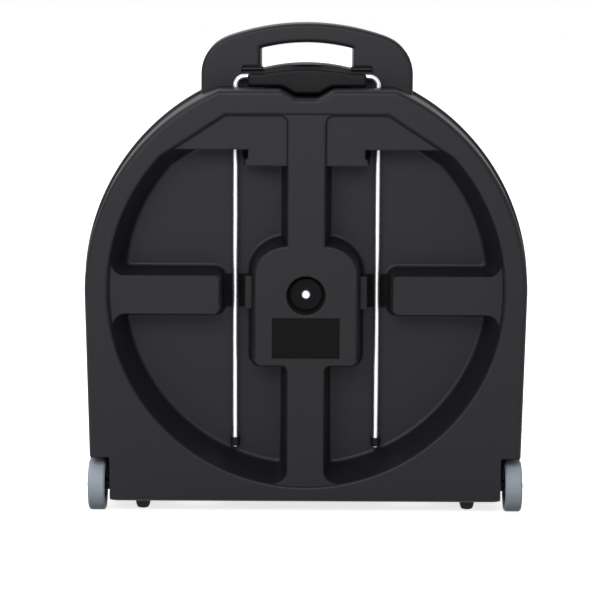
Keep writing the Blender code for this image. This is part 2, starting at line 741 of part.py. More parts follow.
def rear_shell():
    """The moulded back: its ribs, boss and guide blocks are hollow, like the rest of its wall."""
    sections = edge_sections(OUTLINE, REAR_FACE, EDGE_RADIUS, 1)
    lip = grown(PARTING_OUTLINE, LIP_OUT)
    sections += [(-LIP_THICK, PARTING_OUTLINE), (-LIP_THICK, lip), (-TOUCH / 2, lip)]
    shell = loft("rear_shell", sections, SHELL_PLASTIC)

    thin = grown(OUTLINE, -WALL)
    inside = edge_sections(thin, REAR_FACE + WALL, EDGE_RADIUS - WALL, 1, 1)
    inside.append((10 * MM, grown(thin, FLANK_DRAFT)))
    cavity = loft("rear_cavity", inside, cutter=True)

    arch = arch_outline()
    arch_sections = edge_sections(arch, -ARCH_REAR, ARCH_EDGE, 1, 3) + [(-TOUCH / 2, arch)]
    boolean(shell, loft("rear_arch", arch_sections, cutter=True), "UNION")
    thin_arch = grown(arch_outline(ARCH_ROOM_LOW - WALL), -WALL)
    arch_room = [
        (-ARCH_REAR + WALL, grown(thin_arch, WALL - ARCH_EDGE)),
        (-ARCH_REAR + ARCH_EDGE, thin_arch),
        (10 * MM, thin_arch),
    ]
    boolean(cavity, loft("rear_arch_room", arch_room, cutter=True), "UNION")

    recess_cuts(shell, 0.0)
    recess_cuts(cavity, WALL)
    boolean(shell, gap_cutter("gap_rear", -ARCH_REAR, 0.0))
    boolean(cavity, gap_cutter("gap_rear_inner", -ARCH_REAR, WALL))
    boolean(shell, nest("nest", 0.0))
    boolean(cavity, nest("nest_inner", WALL))
    boolean(shell, scoop("scoop", 0.0))
    boolean(cavity, scoop("scoop_inner", WALL))
    for side, word in ((-1, "left"), (1, "right")):
        boolean(shell, wheel_well(f"well_{word}", side, 0.0))
        boolean(cavity, wheel_well(f"well_{word}_inner", side, WALL))
        back = -LATCH_POCKET_REAR
        boolean(shell, latch_pocket(f"latch_pocket_{word}", side, back, 10 * MM, 0.0))
        boolean(cavity, latch_pocket(f"latch_pocket_{word}_inner", side, back - WALL, 20 * MM, WALL))
    boolean(shell, cavity)

    panel_low = (-PANEL_HALF, REAR_FACE - 10 * MM, PANEL_LOW)
    panel_high = (PANEL_HALF, RIB_FACE + PANEL_DEEP, PANEL_HIGH)
    boolean(shell, box("panel_recess", panel_low, panel_high, cutter=True))
    hole = cylinder(
        "bolt_hole", BOLT_RADIUS + RUNNING, REAR_FACE, POCKET_FLOOR, "Y", (0, 0, BOLT_HEIGHT), cutter=True
    )
    boolean(shell, hole)
    for side, word in ((-1, "left"), (1, "right")):
        rod = (side * ROD_APART, -ROD_BACK, 0)
        axle = (side * WELL_INNER, -WHEEL_BACK, WHEEL_RADIUS)
        bore = GUIDE_RADIUS + TOUCH
        boolean(shell, drilled(f"guide_hole_{word}", bore, BLOCK_LOW, TOP_HEIGHT + 20 * MM, "Z", rod))
        bore = AXLE_RADIUS + RUNNING
        boolean(shell, drilled(f"axle_hole_{word}", bore, -20 * MM, 10 * MM, "X", axle))
    return shell


def front_shell():
    """The lid: a plain moulded half with a round panel let into its face, and its half of the handle."""
    lip = grown(PARTING_OUTLINE, LIP_OUT)
    sections = [(TOUCH / 2, lip), (LIP_THICK, lip), (LIP_THICK, PARTING_OUTLINE)]
    sections += reversed(edge_sections(OUTLINE, LID_DEPTH, LID_EDGE_RADIUS, -1))
    shell = loft("front_shell", sections, SHELL_PLASTIC)
    thin = grown(OUTLINE, -WALL)
    inside = [(-10 * MM, grown(thin, FLANK_DRAFT))]
    inside += reversed(edge_sections(thin, LID_DEPTH - WALL, LID_EDGE_RADIUS - WALL, -1, 3))
    cavity = loft("lid_cavity", inside, cutter=True)

    arch = arch_outline()
    arch_sections = [(TOUCH / 2, arch)] + list(reversed(edge_sections(arch, ARCH_FRONT, ARCH_EDGE, -1, 3)))
    boolean(shell, loft("front_arch", arch_sections, cutter=True), "UNION")
    thin_arch = grown(arch_outline(ARCH_ROOM_LOW - WALL), -WALL)
    arch_room = [(-10 * MM, thin_arch), (ARCH_FRONT - ARCH_EDGE, thin_arch)]
    arch_room.append((ARCH_FRONT - WALL, grown(thin_arch, WALL - ARCH_EDGE)))
    boolean(cavity, loft("front_arch_room", arch_room, cutter=True), "UNION")
    boolean(shell, gap_cutter("gap_front", ARCH_FRONT, 0.0))
    boolean(cavity, gap_cutter("gap_front_inner", ARCH_FRONT, WALL))

    for grow, target, name in ((0.0, shell, "lid_panel"), (WALL, cavity, "lid_panel_inner")):
        radius = LID_PANEL_RADIUS + grow
        low, high = LID_DEPTH - LID_PANEL_DEEP - grow, LID_DEPTH + 10 * MM
        panel = cylinder(name, radius, low, high, "Y", (0, 0, ARC_HEIGHT), steps=60, cutter=True)
        boolean(target, panel)
    for side, word in ((-1, "left"), (1, "right")):
        front = LATCH_POCKET_FRONT
        boolean(shell, latch_pocket(f"keeper_pocket_{word}", side, -10 * MM, front, 0.0))
        boolean(cavity, latch_pocket(f"keeper_pocket_{word}_inner", side, -20 * MM, front + WALL, WALL))
    boolean(shell, cavity)

    return shell


def pull_handle():
    """Two rods, bent in at the top, that share one grip and carry a stop at their lower ends."""
    bend_height = GRIP_HIGH - GRIP_THICK / 2 - 2 * MM
    trolley = axis_empty("trolley_slide", (0, -ROD_BACK, ROD_LOW))
    pieces = []
    for side, word in ((-1, "left"), (1, "right")):
        corner = (side * ROD_APART, -ROD_BACK, bend_height)
        path = [(side * ROD_APART, -ROD_BACK, ROD_LOW)]
        path += bend(corner, (0, 0, 1), (-side, 0, 0), ROD_BEND)
        path.append((side * (GRIP_HALF - ROD_IN_GRIP), -ROD_BACK, bend_height))
        pieces.append(wire(f"trolley_rod_{word}", path, ROD_RADIUS, BRIGHT_STEEL, resolution=4))
        bore = ROD_RADIUS + TOUCH
        profile = [
            (bore, ROD_STOP_LONG),
            (ROD_STOP_RADIUS - MM, ROD_STOP_LONG),
            (ROD_STOP_RADIUS, ROD_STOP_LONG - MM),
            (ROD_STOP_RADIUS, 0),
            (bore, 0),
        ]
        place = (side * ROD_APART, -ROD_BACK, ROD_LOW + MM)
        pieces.append(turned(f"rod_stop_{word}", profile, "Z", place, BLACK_PLASTIC, steps=SMALL_ROUND))

    lean = asin(GRIP_ARC_HALF / GRIP_CURVE)
    corners = [
        (-GRIP_HALF, GRIP_LOW, GRIP_CORNER),
        (-SCOOP_HALF + 3 * MM, GRIP_LOW, 0),
        (-SCOOP_FLOOR_HALF - 2 * MM, GRIP_LOW - GRIP_BULGE, 6 * MM),
        (SCOOP_FLOOR_HALF + 2 * MM, GRIP_LOW - GRIP_BULGE, 6 * MM),
        (SCOOP_HALF - 3 * MM, GRIP_LOW, 0),
        (GRIP_HALF, GRIP_LOW, GRIP_CORNER),
        (GRIP_HALF, GRIP_SHOULDER, GRIP_CORNER),
    ]
    for k in range(7):
        turn = lean - 2 * lean * k / 6
        corners.append((GRIP_CURVE * sin(turn), GRIP_HIGH - GRIP_CURVE * (1 - cos(turn)), 0))
    corners.append((-GRIP_HALF, GRIP_SHOULDER, GRIP_CORNER))
    outline = plain(corners)
    back, front = -ROD_BACK - GRIP_THICK / 2, -ROD_BACK + GRIP_THICK / 2
    sections = edge_sections(outline, back, GRIP_EDGE, 1, 3)
    sections += reversed(edge_sections(outline, front, GRIP_EDGE, -1, 3))
    grip = loft("trolley_grip", sections, BLACK_PLASTIC)
    for side, word in ((-1, "left"), (1, "right")):
        place = (side * GRIP_HALF, -ROD_BACK, bend_height)
        depth = ROD_IN_GRIP + TOUCH
        boolean(
            grip,
            cylinder(
                f"rod_socket_{word}",
                ROD_RADIUS + TOUCH,
                -depth,
                10 * MM,
                "X" if side > 0 else "-X",
                place,
                steps=SMALL_ROUND,
                cutter=True,
            ),
        )
    carry(trolley, grip, *pieces)


def rod_guides():
    """Sleeves through the guide blocks and the flat top, which the rods run in."""
    for side, word in ((-1, "left"), (1, "right")):
        low = BLOCK_HIGH - TOUCH
        bore = ROD_RADIUS + RUNNING
        profile = [
            (bore, TOP_HEIGHT - MM),
            (GUIDE_RADIUS, TOP_HEIGHT - MM),
            (GUIDE_RADIUS, low),
            (GUIDE_FLANGE_RADIUS, low),
            (GUIDE_FLANGE_RADIUS, low - GUIDE_FLANGE_THICK),
            (bore, low - GUIDE_FLANGE_THICK),
        ]
        place = (side * ROD_APART, -ROD_BACK, 0)
        turned(f"rod_guide_{word}", profile, "Z", place, BLACK_PLASTIC, steps=SMALL_ROUND)


def wheels():
    """Each wheel turns on a bolt through the wall of its well."""
    half = WHEEL_WIDE / 2
    rim = WHEEL_RADIUS - TYRE_THICK
    bore = AXLE_RADIUS + RUNNING
    for side, word in ((-1, "left"), (1, "right")):
        axis = "X" if side > 0 else "-X"
        place = (side * WHEEL_MIDDLE, -WHEEL_BACK, WHEEL_RADIUS)
        tyre = [
            (rim, half - MM),
            (WHEEL_RADIUS - TREAD_EDGE, half),
            (WHEEL_RADIUS, half - TREAD_EDGE),
            (WHEEL_RADIUS, TREAD_EDGE - half),
            (WHEEL_RADIUS - TREAD_EDGE, -half),
            (rim, MM - half),
        ]
        turned(f"wheel_tyre_{word}", tyre, axis, place, GREY_RUBBER, steps=40)
        hub_edge = rim - TOUCH
        hub = [
            (bore, half),
            (HUB_BOSS, half),
            (HUB_BOSS, HUB_WEB / 2),
            (hub_edge - 3 * MM, HUB_WEB / 2),
            (hub_edge - 3 * MM, half - 2 * MM),
            (hub_edge, half - 2 * MM),
            (hub_edge, 2 * MM - half),
            (hub_edge - 3 * MM, 2 * MM - half),
            (hub_edge - 3 * MM, -HUB_WEB / 2),
            (HUB_BOSS, -HUB_WEB / 2),
            (HUB_BOSS, -half),
            (bore, -half),
        ]
        turned(f"wheel_hub_{word}", hub, axis, place, BLACK_PLASTIC)
        wall = WELL_INNER - WALL - WHEEL_MIDDLE
        under = half + TOUCH
        nut_top = wall - TOUCH
        nut_end = nut_top - AXLE_NUT_THICK
        bolt = [
            (0, under + 3 * MM),
            (4.5 * MM, under + 2.4 * MM),
            (7 * MM, under + MM),
            (7 * MM, under),
            (AXLE_RADIUS, under),
            (AXLE_RADIUS, nut_end - 2 * MM),
            (0, nut_end - 2 * MM),
        ]
        turned(f"axle_bolt_{word}", bolt, axis, place, DARK_STEEL, steps=SMALL_ROUND)
        nut = cylinder(
            f"axle_nut_{word}", AXLE_NUT_RADIUS, nut_end, nut_top, axis, place, DARK_STEEL, steps=6
        )
        thread = cylinder(
            f"nut_bore_{word}", AXLE_RADIUS + TOUCH, nut_end - MM, nut_top + MM, axis, place, cutter=True
        )
        boolean(nut, thread)
        spacer_top, spacer_end = -half - TOUCH, WELL_INNER - WHEEL_MIDDLE + TOUCH
        spacer = [(bore, spacer_top), (8 * MM, spacer_top), (8 * MM, spacer_end), (bore, spacer_end)]
        turned(f"axle_spacer_{word}", spacer, axis, place, BLACK_PLASTIC, steps=SMALL_ROUND)


def feet():
    for end, y in (("rear", -FOOT_REAR), ("front", FOOT_FRONT)):
        towards_parting = y + FOOT_RADIUS if y < 0 else y - FOOT_RADIUS
        top = BOTTOM_HEIGHT - flank_growth(towards_parting) - TOUCH
        profile = [
            (0, top),
            (FOOT_RADIUS, top),
            (FOOT_RADIUS, top - 4 * MM),
            (FOOT_RADIUS - MM, top / 2),
            (FOOT_TIP_RADIUS + 2 * MM, 2 * MM),
            (FOOT_TIP_RADIUS, 0),
            (0, 0),
        ]
        for side, word in ((-1, "left"), (1, "right")):
            turned(f"foot_{end}_{word}", profile, "Z", (side * FOOT_APART, y, 0), BLACK_RUBBER, steps=24)


def extruded(name, outline, axis, low, high, stuff=None, cutter=False):
    """A (y, z) outline drawn out along X, or an (x, y) one along Z, from a flat filled curve."""
    curve = bpy.data.curves.new(name, "CURVE")
    curve.dimensions = "2D"
    curve.fill_mode = "BOTH"
    curve.extrude = (high - low) / 2
    spline = curve.splines.new("POLY")
    spline.points.add(len(outline) - 1)
    for point, (first, second) in zip(spline.points, outline):
        point.co = (first, second, 0, 1)
    spline.use_cyclic_u = True
    drawn = bpy.data.objects.new(name + "_drawn", curve)
    bpy.context.scene.collection.objects.link(drawn)
    bpy.context.view_layer.update()
    mesh = bpy.data.meshes.new_from_object(drawn.evaluated_get(bpy.context.evaluated_depsgraph_get()))
    bpy.data.objects.remove(drawn, do_unlink=True)
    bm = bmesh.new()
    bm.from_mesh(mesh)
    bpy.data.meshes.remove(mesh)
    bmesh.ops.remove_doubles(bm, verts=bm.verts, dist=0.000005)
    turn = Matrix.Identity(3)
    if axis == "X":
        turn = Matrix(((0, 0, 1), (1, 0, 0), (0, 1, 0)))
    middle = Matrix.Translation((0, 0, (low + high) / 2))
    bmesh.ops.transform(bm, matrix=turn.to_4x4() @ middle, verts=bm.verts)
    return mesh_object(name, bm, stuff, cutter)


def hinges(lid_axis):
    """Two bottom hinges, each of two leaves and a pin, under the parting line."""
    third = HINGE_WIDE / 3
    place = (0, 0, HINGE_HEIGHT)
    for side, word in ((-1, "left"), (1, "right")):
        middle = side * HINGE_APART
        low_x, high_x = middle - HINGE_WIDE / 2, middle + HINGE_WIDE / 2
        spans = {
            "rear": [(low_x, middle - third / 2), (middle + third / 2, high_x)],
            "front": [(middle - third / 2 + TOUCH, middle + third / 2 - TOUCH)],
        }
        for way, end in ((-1, "rear"), (1, "front")):
            others = spans["front" if end == "rear" else "rear"]
            leaf = hinge_leaf(f"{end}_{word}", way, low_x, high_x, spans[end], others)
            if end == "front":
                carry(lid_axis, leaf)
        name = f"hinge_pin_{word}"
        start, stop = low_x - MM, high_x + MM
        cylinder(name, HINGE_PIN_RADIUS, start, stop, "X", place, BRIGHT_STEEL, SMALL_ROUND)


def hinge_leaf(name, way, low_x, high_x, own, others):
    """One leaf: a plate under its shell, a web down to the axis and its own knuckles."""
    top = BOTTOM_HEIGHT - flank_growth(way * LIP_THICK) - TOUCH
    low = top - LEAF_THICK
    web_in, web_out = LIP_THICK + TOUCH, LIP_THICK + TOUCH + LEAF_THICK
    floor = HINGE_HEIGHT - LEAF_THICK / 2
    profile = [
        (way * (web_out + LEAF_LONG), top),
        (way * web_in, top),
        (way * web_in, HINGE_HEIGHT + LEAF_THICK / 2),
        (0, HINGE_HEIGHT + LEAF_THICK / 2),
        (0, floor),
        (way * web_out, floor),
        (way * web_out, low),
        (way * (web_out + LEAF_LONG), low),
    ]
    leaf = extruded(f"hinge_leaf_{name}", profile, "X", low_x, high_x, DARK_STEEL)
    reach = KNUCKLE_RADIUS + MM
    for i, (start, stop) in enumerate(others):
        room_low = (start - 2 * TOUCH, -reach, HINGE_HEIGHT - reach)
        room_high = (stop + 2 * TOUCH, reach, HINGE_HEIGHT + reach)
        boolean(leaf, box(f"knuckle_room_{name}_{i}", room_low, room_high, cutter=True))
    place = (0, 0, HINGE_HEIGHT)
    for i, (start, stop) in enumerate(own):
        knuckle = drilled(f"knuckle_{name}_{i}", KNUCKLE_RADIUS, start, stop, "X", place)
        boolean(leaf, knuckle, "UNION")
    bore = HINGE_PIN_RADIUS + RUNNING
    boolean(leaf, drilled(f"pin_hole_{name}", bore, low_x - MM, high_x + MM, "X", place))
    return leaf


def bar_z(name, outline, half, stuff=None, cutter=False):
    """A flat outline of (x, y) points drawn out along Z, the same both ways from the latch's middle."""
    return extruded(name, outline, "Z", LATCH_HEIGHT - half, LATCH_HEIGHT + half, stuff, cutter)


def side_box(name, side, out, back, up):
    """A cutter given by its runs from the middle plane, along Y and up from the latch's middle."""
    x = sorted((side * out[0], side * out[1]))
    low = (x[0], back[0], LATCH_HEIGHT + up[0])
    return box(name, low, (x[1], back[1], LATCH_HEIGHT + up[1]), cutter=True)


def latch_plate(name, side, out, back, front, half):
    """A flat plate on a latch pocket's floor, with rounded corners."""
    low, high = LATCH_HEIGHT - half, LATCH_HEIGHT + half
    corners = [(back, low), (front, low), (front, high), (back, high)]
    outline = plain([(y, z, LATCH_CORNER) for y, z in corners])
    reach = sorted((side * out, side * (out + LATCH_PLATE)))
    return extruded(name, outline, "X", reach[0], reach[1], BRIGHT_STEEL)


def latch_base(word, side, floor, pivot, bore, pin_half):
    """The plate under the lever, with two ears for the lever's pin."""
    base = latch_plate(f"latch_base_{word}", side, floor, -LATCH_BASE_TO, -LATCH_BASE_FROM, LATCH_HIGH / 2)
    plate_top = floor + LATCH_PLATE
    out = (floor - MM, plate_top + MM)
    window = (-LATCH_WINDOW_TO, -LATCH_WINDOW_FROM)
    height = (-LATCH_WINDOW_HALF, LATCH_WINDOW_HALF)
    boolean(base, side_box(f"lever_window_{word}", side, out, window, height))
    for way, which in ((-1, "low"), (1, "high")):
        ear_end = LATCH_HIGH / 2 - LATCH_PLATE / 4
        reach = sorted((way * (ear_end - EAR_THICK), way * ear_end))
        ear = drilled(f"ear_{which}_{word}", EAR_RADIUS, reach[0], reach[1], "Z", pivot)
        boolean(base, ear, "UNION")
        out = (plate_top - MM, side * pivot[0])
        foot = (pivot[1] - EAR_RADIUS + TOUCH, pivot[1] + EAR_RADIUS - TOUCH)
        boolean(base, side_box(f"ear_foot_{which}_{word}", side, out, foot, reach), "UNION")
    reach = pin_half + MM
    boolean(base, drilled(f"ear_bore_{word}", bore, -reach, reach, "Z", pivot, PIN_STEPS))


def latch_lever(word, side, pivot, bail_pin, bore):
    """A cranked lever with a wide paddle, bored for its own pin and for the bail's ends."""
    pivot_x, bail_x = side * pivot[0], side * bail_pin[0]
    back = pivot_x + LEVER_BACK
    front = back - LEVER_THICK
    belly = pivot_x - LEVER_BELLY
    heel = bail_x - 2 * BAIL_RADIUS
    nose = -LATCH_PIVOT_BACK + EAR_RADIUS
    profile = [
        (back, -LEVER_END, LEVER_THICK / 3),
        (front, -LEVER_END, LEVER_THICK / 3),
        (front, -BAIL_PIN_BACK - EAR_RADIUS, LEVER_THICK),
        (heel, -BAIL_PIN_BACK - EAR_RADIUS, 2 * MM),
        (heel, -BAIL_PIN_BACK + 2 * BAIL_RADIUS, MM),
        (belly, -BAIL_PIN_BACK + EAR_RADIUS, MM / 2),
        (belly, nose, 2.5 * MM),
        (back, nose, 2 * MM),
    ]
    outline = [Vector((side * p.x, p.y)) for p in plain(profile)]
    lever = bar_z(f"latch_lever_{word}", outline, LEVER_HALF, BRIGHT_STEEL)
    paddle = (-LEVER_END + LEVER_THICK / 2, -PADDLE_FROM)
    height = (-PADDLE_HALF, PADDLE_HALF)
    boolean(lever, side_box(f"paddle_{word}", side, (front, back), paddle, height), "UNION")
    reach = 2 * LEVER_HALF
    boolean(lever, drilled(f"lever_bore_{word}", bore, -reach, reach, "Z", pivot, PIN_STEPS))
    bore = BAIL_RADIUS + TOUCH
    boolean(lever, drilled(f"bail_bore_{word}", bore, -reach, reach, "Z", bail_pin, PIN_STEPS))
    return lever


def latch_bail(word, side, bail_pin, far_x):
    """The wire loop: its ends turn in to the lever, and its legs pass outside the ears."""
    start, end = Vector((side * bail_pin[0], bail_pin[1])), Vector((far_x, BAIL_REACH))
    run = (end - start).normalized()
    ahead, astern = (side * run.x, run.y, 0), (-side * run.x, -run.y, 0)
    up, down = (0, 0, 1), (0, 0, -1)
    low, high = LATCH_HEIGHT - BAIL_HALF, LATCH_HEIGHT + BAIL_HALF
    tuck = LEVER_HALF - BAIL_TUCK
    path = [Vector((bail_pin[0], start.y, LATCH_HEIGHT - tuck))]
    path += bend((bail_pin[0], start.y, low), down, ahead, BAIL_CORNER, 3)
    path += bend((side * end.x, end.y, low), ahead, up, BAIL_CORNER, 3)
    path += bend((side * end.x, end.y, high), up, astern, BAIL_CORNER, 3)
    path += bend((bail_pin[0], start.y, high), astern, down, BAIL_CORNER, 3)
    path.append(Vector((bail_pin[0], start.y, LATCH_HEIGHT + tuck)))
    return wire(f"latch_bail_{word}", path, BAIL_RADIUS, BRIGHT_STEEL)


def latch_keeper(word, side, floor):
    """The plate on the lid's side, with the hook that the bail closes over."""
    keeper = latch_plate(f"latch_keeper_{word}", side, floor, KEEPER_FROM, KEEPER_TO, KEEPER_HALF)
    foot = floor + LATCH_PLATE / 2
    top = floor + LATCH_PLATE + HOOK_HIGH - HOOK_THICK
    hook = [
        (foot, HOOK_AT),
        (top - MM, HOOK_AT),
        (top, HOOK_AT + MM),
        (top, HOOK_AT + HOOK_LIP),
        (top - HOOK_THICK, HOOK_AT + HOOK_LIP),
        (top - HOOK_THICK, HOOK_AT + LATCH_PLATE),
        (foot, HOOK_AT + LATCH_PLATE),
    ]
    outline = [Vector((side * x, y)) for x, y in hook]
    boolean(keeper, bar_z(f"hook_{word}", outline, HOOK_HALF, cutter=True), "UNION")
    return keeper


def latches(lid_axis):
    """A draw latch on each flank: a base with a pinned lever, the lever's wire bail, and a keeper."""
    floor = ARC_RADIUS - LATCH_POCKET_DEEP + TOUCH
    bore = LATCH_PIVOT_RADIUS + RUNNING
    pin_half = LATCH_HIGH / 2
    far_x = floor + LATCH_PLATE + HOOK_HIGH - HOOK_THICK + TOUCH + BAIL_RADIUS
    for side, word in ((-1, "left"), (1, "right")):
        pivot = (side * (floor + LATCH_PIVOT_OUT), -LATCH_PIVOT_BACK, LATCH_HEIGHT)
        bail_pin = (side * (floor + BAIL_PIN_OUT), -BAIL_PIN_BACK, LATCH_HEIGHT)
        latch_base(word, side, floor, pivot, bore, pin_half)
        name = f"latch_pin_{word}"
        cylinder(name, LATCH_PIVOT_RADIUS, -pin_half, pin_half, "Z", pivot, BRIGHT_STEEL, PIN_STEPS)
        carry(axis_empty(f"latch_axis_{word}", pivot), latch_lever(word, side, pivot, bail_pin, bore))
        bail = latch_bail(word, side, bail_pin, far_x)
        carry(axis_empty(f"bail_axis_{word}", bail_pin), bail)
        carry(lid_axis, latch_keeper(word, side, floor))


def ring_profile(bore, radius, low, high, bevel=0.0):
    """A flat ring's profile, from its bore's top end."""
    return [
        (bore, high),
        (radius - bevel, high),
        (radius, high - bevel),
        (radius, low + bevel),
        (radius - bevel, low),
        (bore, low),
    ] if bevel else [(bore, high), (radius, high), (radius, low), (bore, low)]


def cymbal_clamp():
    """The centre bolt from the boss into the case, with what the cymbals sit on and are clamped by."""
    place = (0, 0, BOLT_HEIGHT)
    bore = BOLT_RADIUS + RUNNING
    disc_top = HOLE_FLOOR - TOUCH
    disc = ring_profile(bore, DISC_RADIUS, disc_top - DISC_THICK, disc_top, 0.8 * MM)
    turned("rear_disc", disc, "Y", place, BLACK_PLASTIC)
    head_top = disc_top - DISC_THICK - TOUCH
    head_low = head_top - BOLT_HEAD_THICK
    bolt = [
        (0, BOLT_END),
        (BOLT_RADIUS - 0.8 * MM, BOLT_END),
        (BOLT_RADIUS, BOLT_END - MM),
        (BOLT_RADIUS, head_top),
        (BOLT_HEAD_RADIUS, head_top),
        (BOLT_HEAD_RADIUS, head_top - 2 * MM),
        (BOLT_HEAD_RADIUS - 2 * MM, head_low + 0.8 * MM),
        (BOLT_HEAD_RADIUS / 2, head_low),
        (0, head_low),
    ]
    turned("centre_bolt", bolt, "Y", place, BRIGHT_STEEL, steps=24)
    base_low = HOLE_FLOOR + WALL + TOUCH
    base = [
        (bore, -BASE_TOP),
        (BASE_RADIUS, -BASE_TOP),
        (BASE_RADIUS + 2 * MM, base_low + BASE_FLANGE_THICK),
        (BASE_FLANGE_RADIUS, base_low + BASE_FLANGE_THICK),
        (BASE_FLANGE_RADIUS, base_low),
        (bore, base_low),
    ]
    turned("post_base", base, "Y", place, BLACK_PLASTIC)
    sleeve_low = -BASE_TOP + TOUCH
    sleeve = ring_profile(bore, SLEEVE_RADIUS, sleeve_low, SLEEVE_END)
    turned("post_sleeve", sleeve, "Y", place, BLACK_PLASTIC, SMALL_ROUND)
    on_sleeve = SLEEVE_RADIUS + TOUCH
    lower = ring_profile(on_sleeve, FELT_RADIUS, sleeve_low, sleeve_low + FELT_THICK, MM)
    turned("lower_felt", lower, "Y", place, FELT)

    clamp = axis_empty("clamp_slide", (0, CLAMP_AT, BOLT_HEIGHT))
    upper = ring_profile(on_sleeve, FELT_RADIUS, CLAMP_AT, CLAMP_AT + FELT_THICK, MM)
    plate_low = CLAMP_AT + FELT_THICK + TOUCH
    plate = ring_profile(on_sleeve, CLAMP_RADIUS, plate_low, plate_low + CLAMP_THICK, MM)
    pieces = [
        turned("upper_felt", upper, "Y", place, FELT),
        turned("clamp_plate", plate, "Y", place, BLACK_PLASTIC),
    ]
    nut_low = plate_low + CLAMP_THICK + TOUCH
    body = ring_profile(bore, NUT_RADIUS, nut_low, nut_low + NUT_THICK, MM)
    nut = turned("wing_nut", body, "Y", place, BRIGHT_STEEL, 24)
    for way, which in ((-1, "low"), (1, "high")):
        corners = [
            (nut_low + MM, NUT_RADIUS - 3 * MM, 0),
            (nut_low + MM, NUT_RADIUS + MM, 1.5 * MM),
            (nut_low + 6 * MM, WING_REACH, 3 * MM),
            (nut_low + WING_HIGH, WING_REACH, 3 * MM),
            (nut_low + WING_HIGH, WING_REACH - 6 * MM, 2.5 * MM),
            (nut_low + 7 * MM, NUT_RADIUS - 3 * MM, 0),
        ]
        outline = [(p.x, BOLT_HEIGHT + way * p.y) for p in plain(corners)]
        half = WING_THICK / 2
        boolean(nut, extruded(f"wing_{which}", outline, "X", -half, half, cutter=True), "UNION")
    carry(clamp, nut, *pieces)


def liners(lid_axis):
    """Foam pads on the floors of both shells, with a low crown and eased edges."""
    low = POCKET_FLOOR + WALL + TOUCH
    top = low + LINER_THICK
    middle = (LINER_HOLE + LINER_RADIUS) / 2
    rear = [
        (LINER_HOLE + MM, top - 5 * MM),
        (LINER_HOLE + 5 * MM, top - 1.2 * MM),
        (LINER_HOLE + 24 * MM, top + LINER_CROWN / 2),
        (middle, top + LINER_CROWN),
        (LINER_RADIUS - 24 * MM, top + LINER_CROWN / 2),
        (LINER_RADIUS - 5 * MM, top - 1.2 * MM),
        (LINER_RADIUS, top - 5 * MM),
        (LINER_RADIUS - 1.5 * MM, low),
        (LINER_HOLE + 2 * MM, low),
    ]
    turned("rear_foam_liner", rear, "Y", (0, 0, ARC_HEIGHT), FOAM, steps=48)
    high = LID_DEPTH - LID_PANEL_DEEP - WALL - TOUCH
    low = high - LINER_THICK
    front = [
        (0, high),
        (LID_LINER_RADIUS - 1.5 * MM, high),
        (LID_LINER_RADIUS, low + 5 * MM),
        (LID_LINER_RADIUS - 5 * MM, low + 1.2 * MM),
        (LID_LINER_RADIUS - 24 * MM, low - LINER_CROWN / 2),
        (LID_LINER_RADIUS / 2, low - LINER_CROWN),
        (0, low - LINER_CROWN),
    ]
    liner = turned("front_foam_liner", front, "Y", (0, 0, ARC_HEIGHT), FOAM, steps=48)
    carry(lid_axis, liner)


def build():
    lid_axis = axis_empty("lid_hinge", (0, 0, HINGE_HEIGHT))
    rear_shell()
    carry(lid_axis, front_shell())
    pull_handle()
    rod_guides()
    wheels()
    feet()
    hinges(lid_axis)
    latches(lid_axis)
    cymbal_clamp()
    liners(lid_axis)
    carry(lid_axis, bpy.data.objects["foot_front_left"], bpy.data.objects["foot_front_right"])


build()
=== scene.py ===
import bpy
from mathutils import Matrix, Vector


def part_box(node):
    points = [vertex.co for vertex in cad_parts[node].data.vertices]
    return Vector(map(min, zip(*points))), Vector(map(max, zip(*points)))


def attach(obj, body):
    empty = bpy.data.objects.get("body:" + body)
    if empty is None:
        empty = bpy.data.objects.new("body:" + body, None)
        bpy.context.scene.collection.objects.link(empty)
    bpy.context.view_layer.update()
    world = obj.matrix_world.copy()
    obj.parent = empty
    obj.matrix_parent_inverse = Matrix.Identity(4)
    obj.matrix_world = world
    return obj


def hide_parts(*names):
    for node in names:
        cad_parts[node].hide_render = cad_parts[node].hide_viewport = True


bl_info = {
    "name": "Cymbal trolley case",
    "version": (1, 0, 0),
    "blender": (4, 5, 0),
    "location": "View3D > Sidebar > Trolley case",
    "description": "Rebuilds the looks of a moulded cymbal trolley case around its packed model",
    "category": "Object",
}

from contextlib import contextmanager
from math import asin, ceil, cos, pi, radians, sin, sqrt, tan

import bmesh
import bpy
from bpy.props import FloatProperty, FloatVectorProperty, PointerProperty
from mathutils import Matrix, Vector

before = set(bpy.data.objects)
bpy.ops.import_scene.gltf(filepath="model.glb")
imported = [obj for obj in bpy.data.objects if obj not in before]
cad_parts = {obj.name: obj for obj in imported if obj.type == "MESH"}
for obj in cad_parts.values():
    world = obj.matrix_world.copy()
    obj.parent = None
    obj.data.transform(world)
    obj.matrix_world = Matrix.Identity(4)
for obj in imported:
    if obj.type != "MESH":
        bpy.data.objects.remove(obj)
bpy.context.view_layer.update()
SIDES = ((-1, "left"), (1, "right"))
MM = 0.001

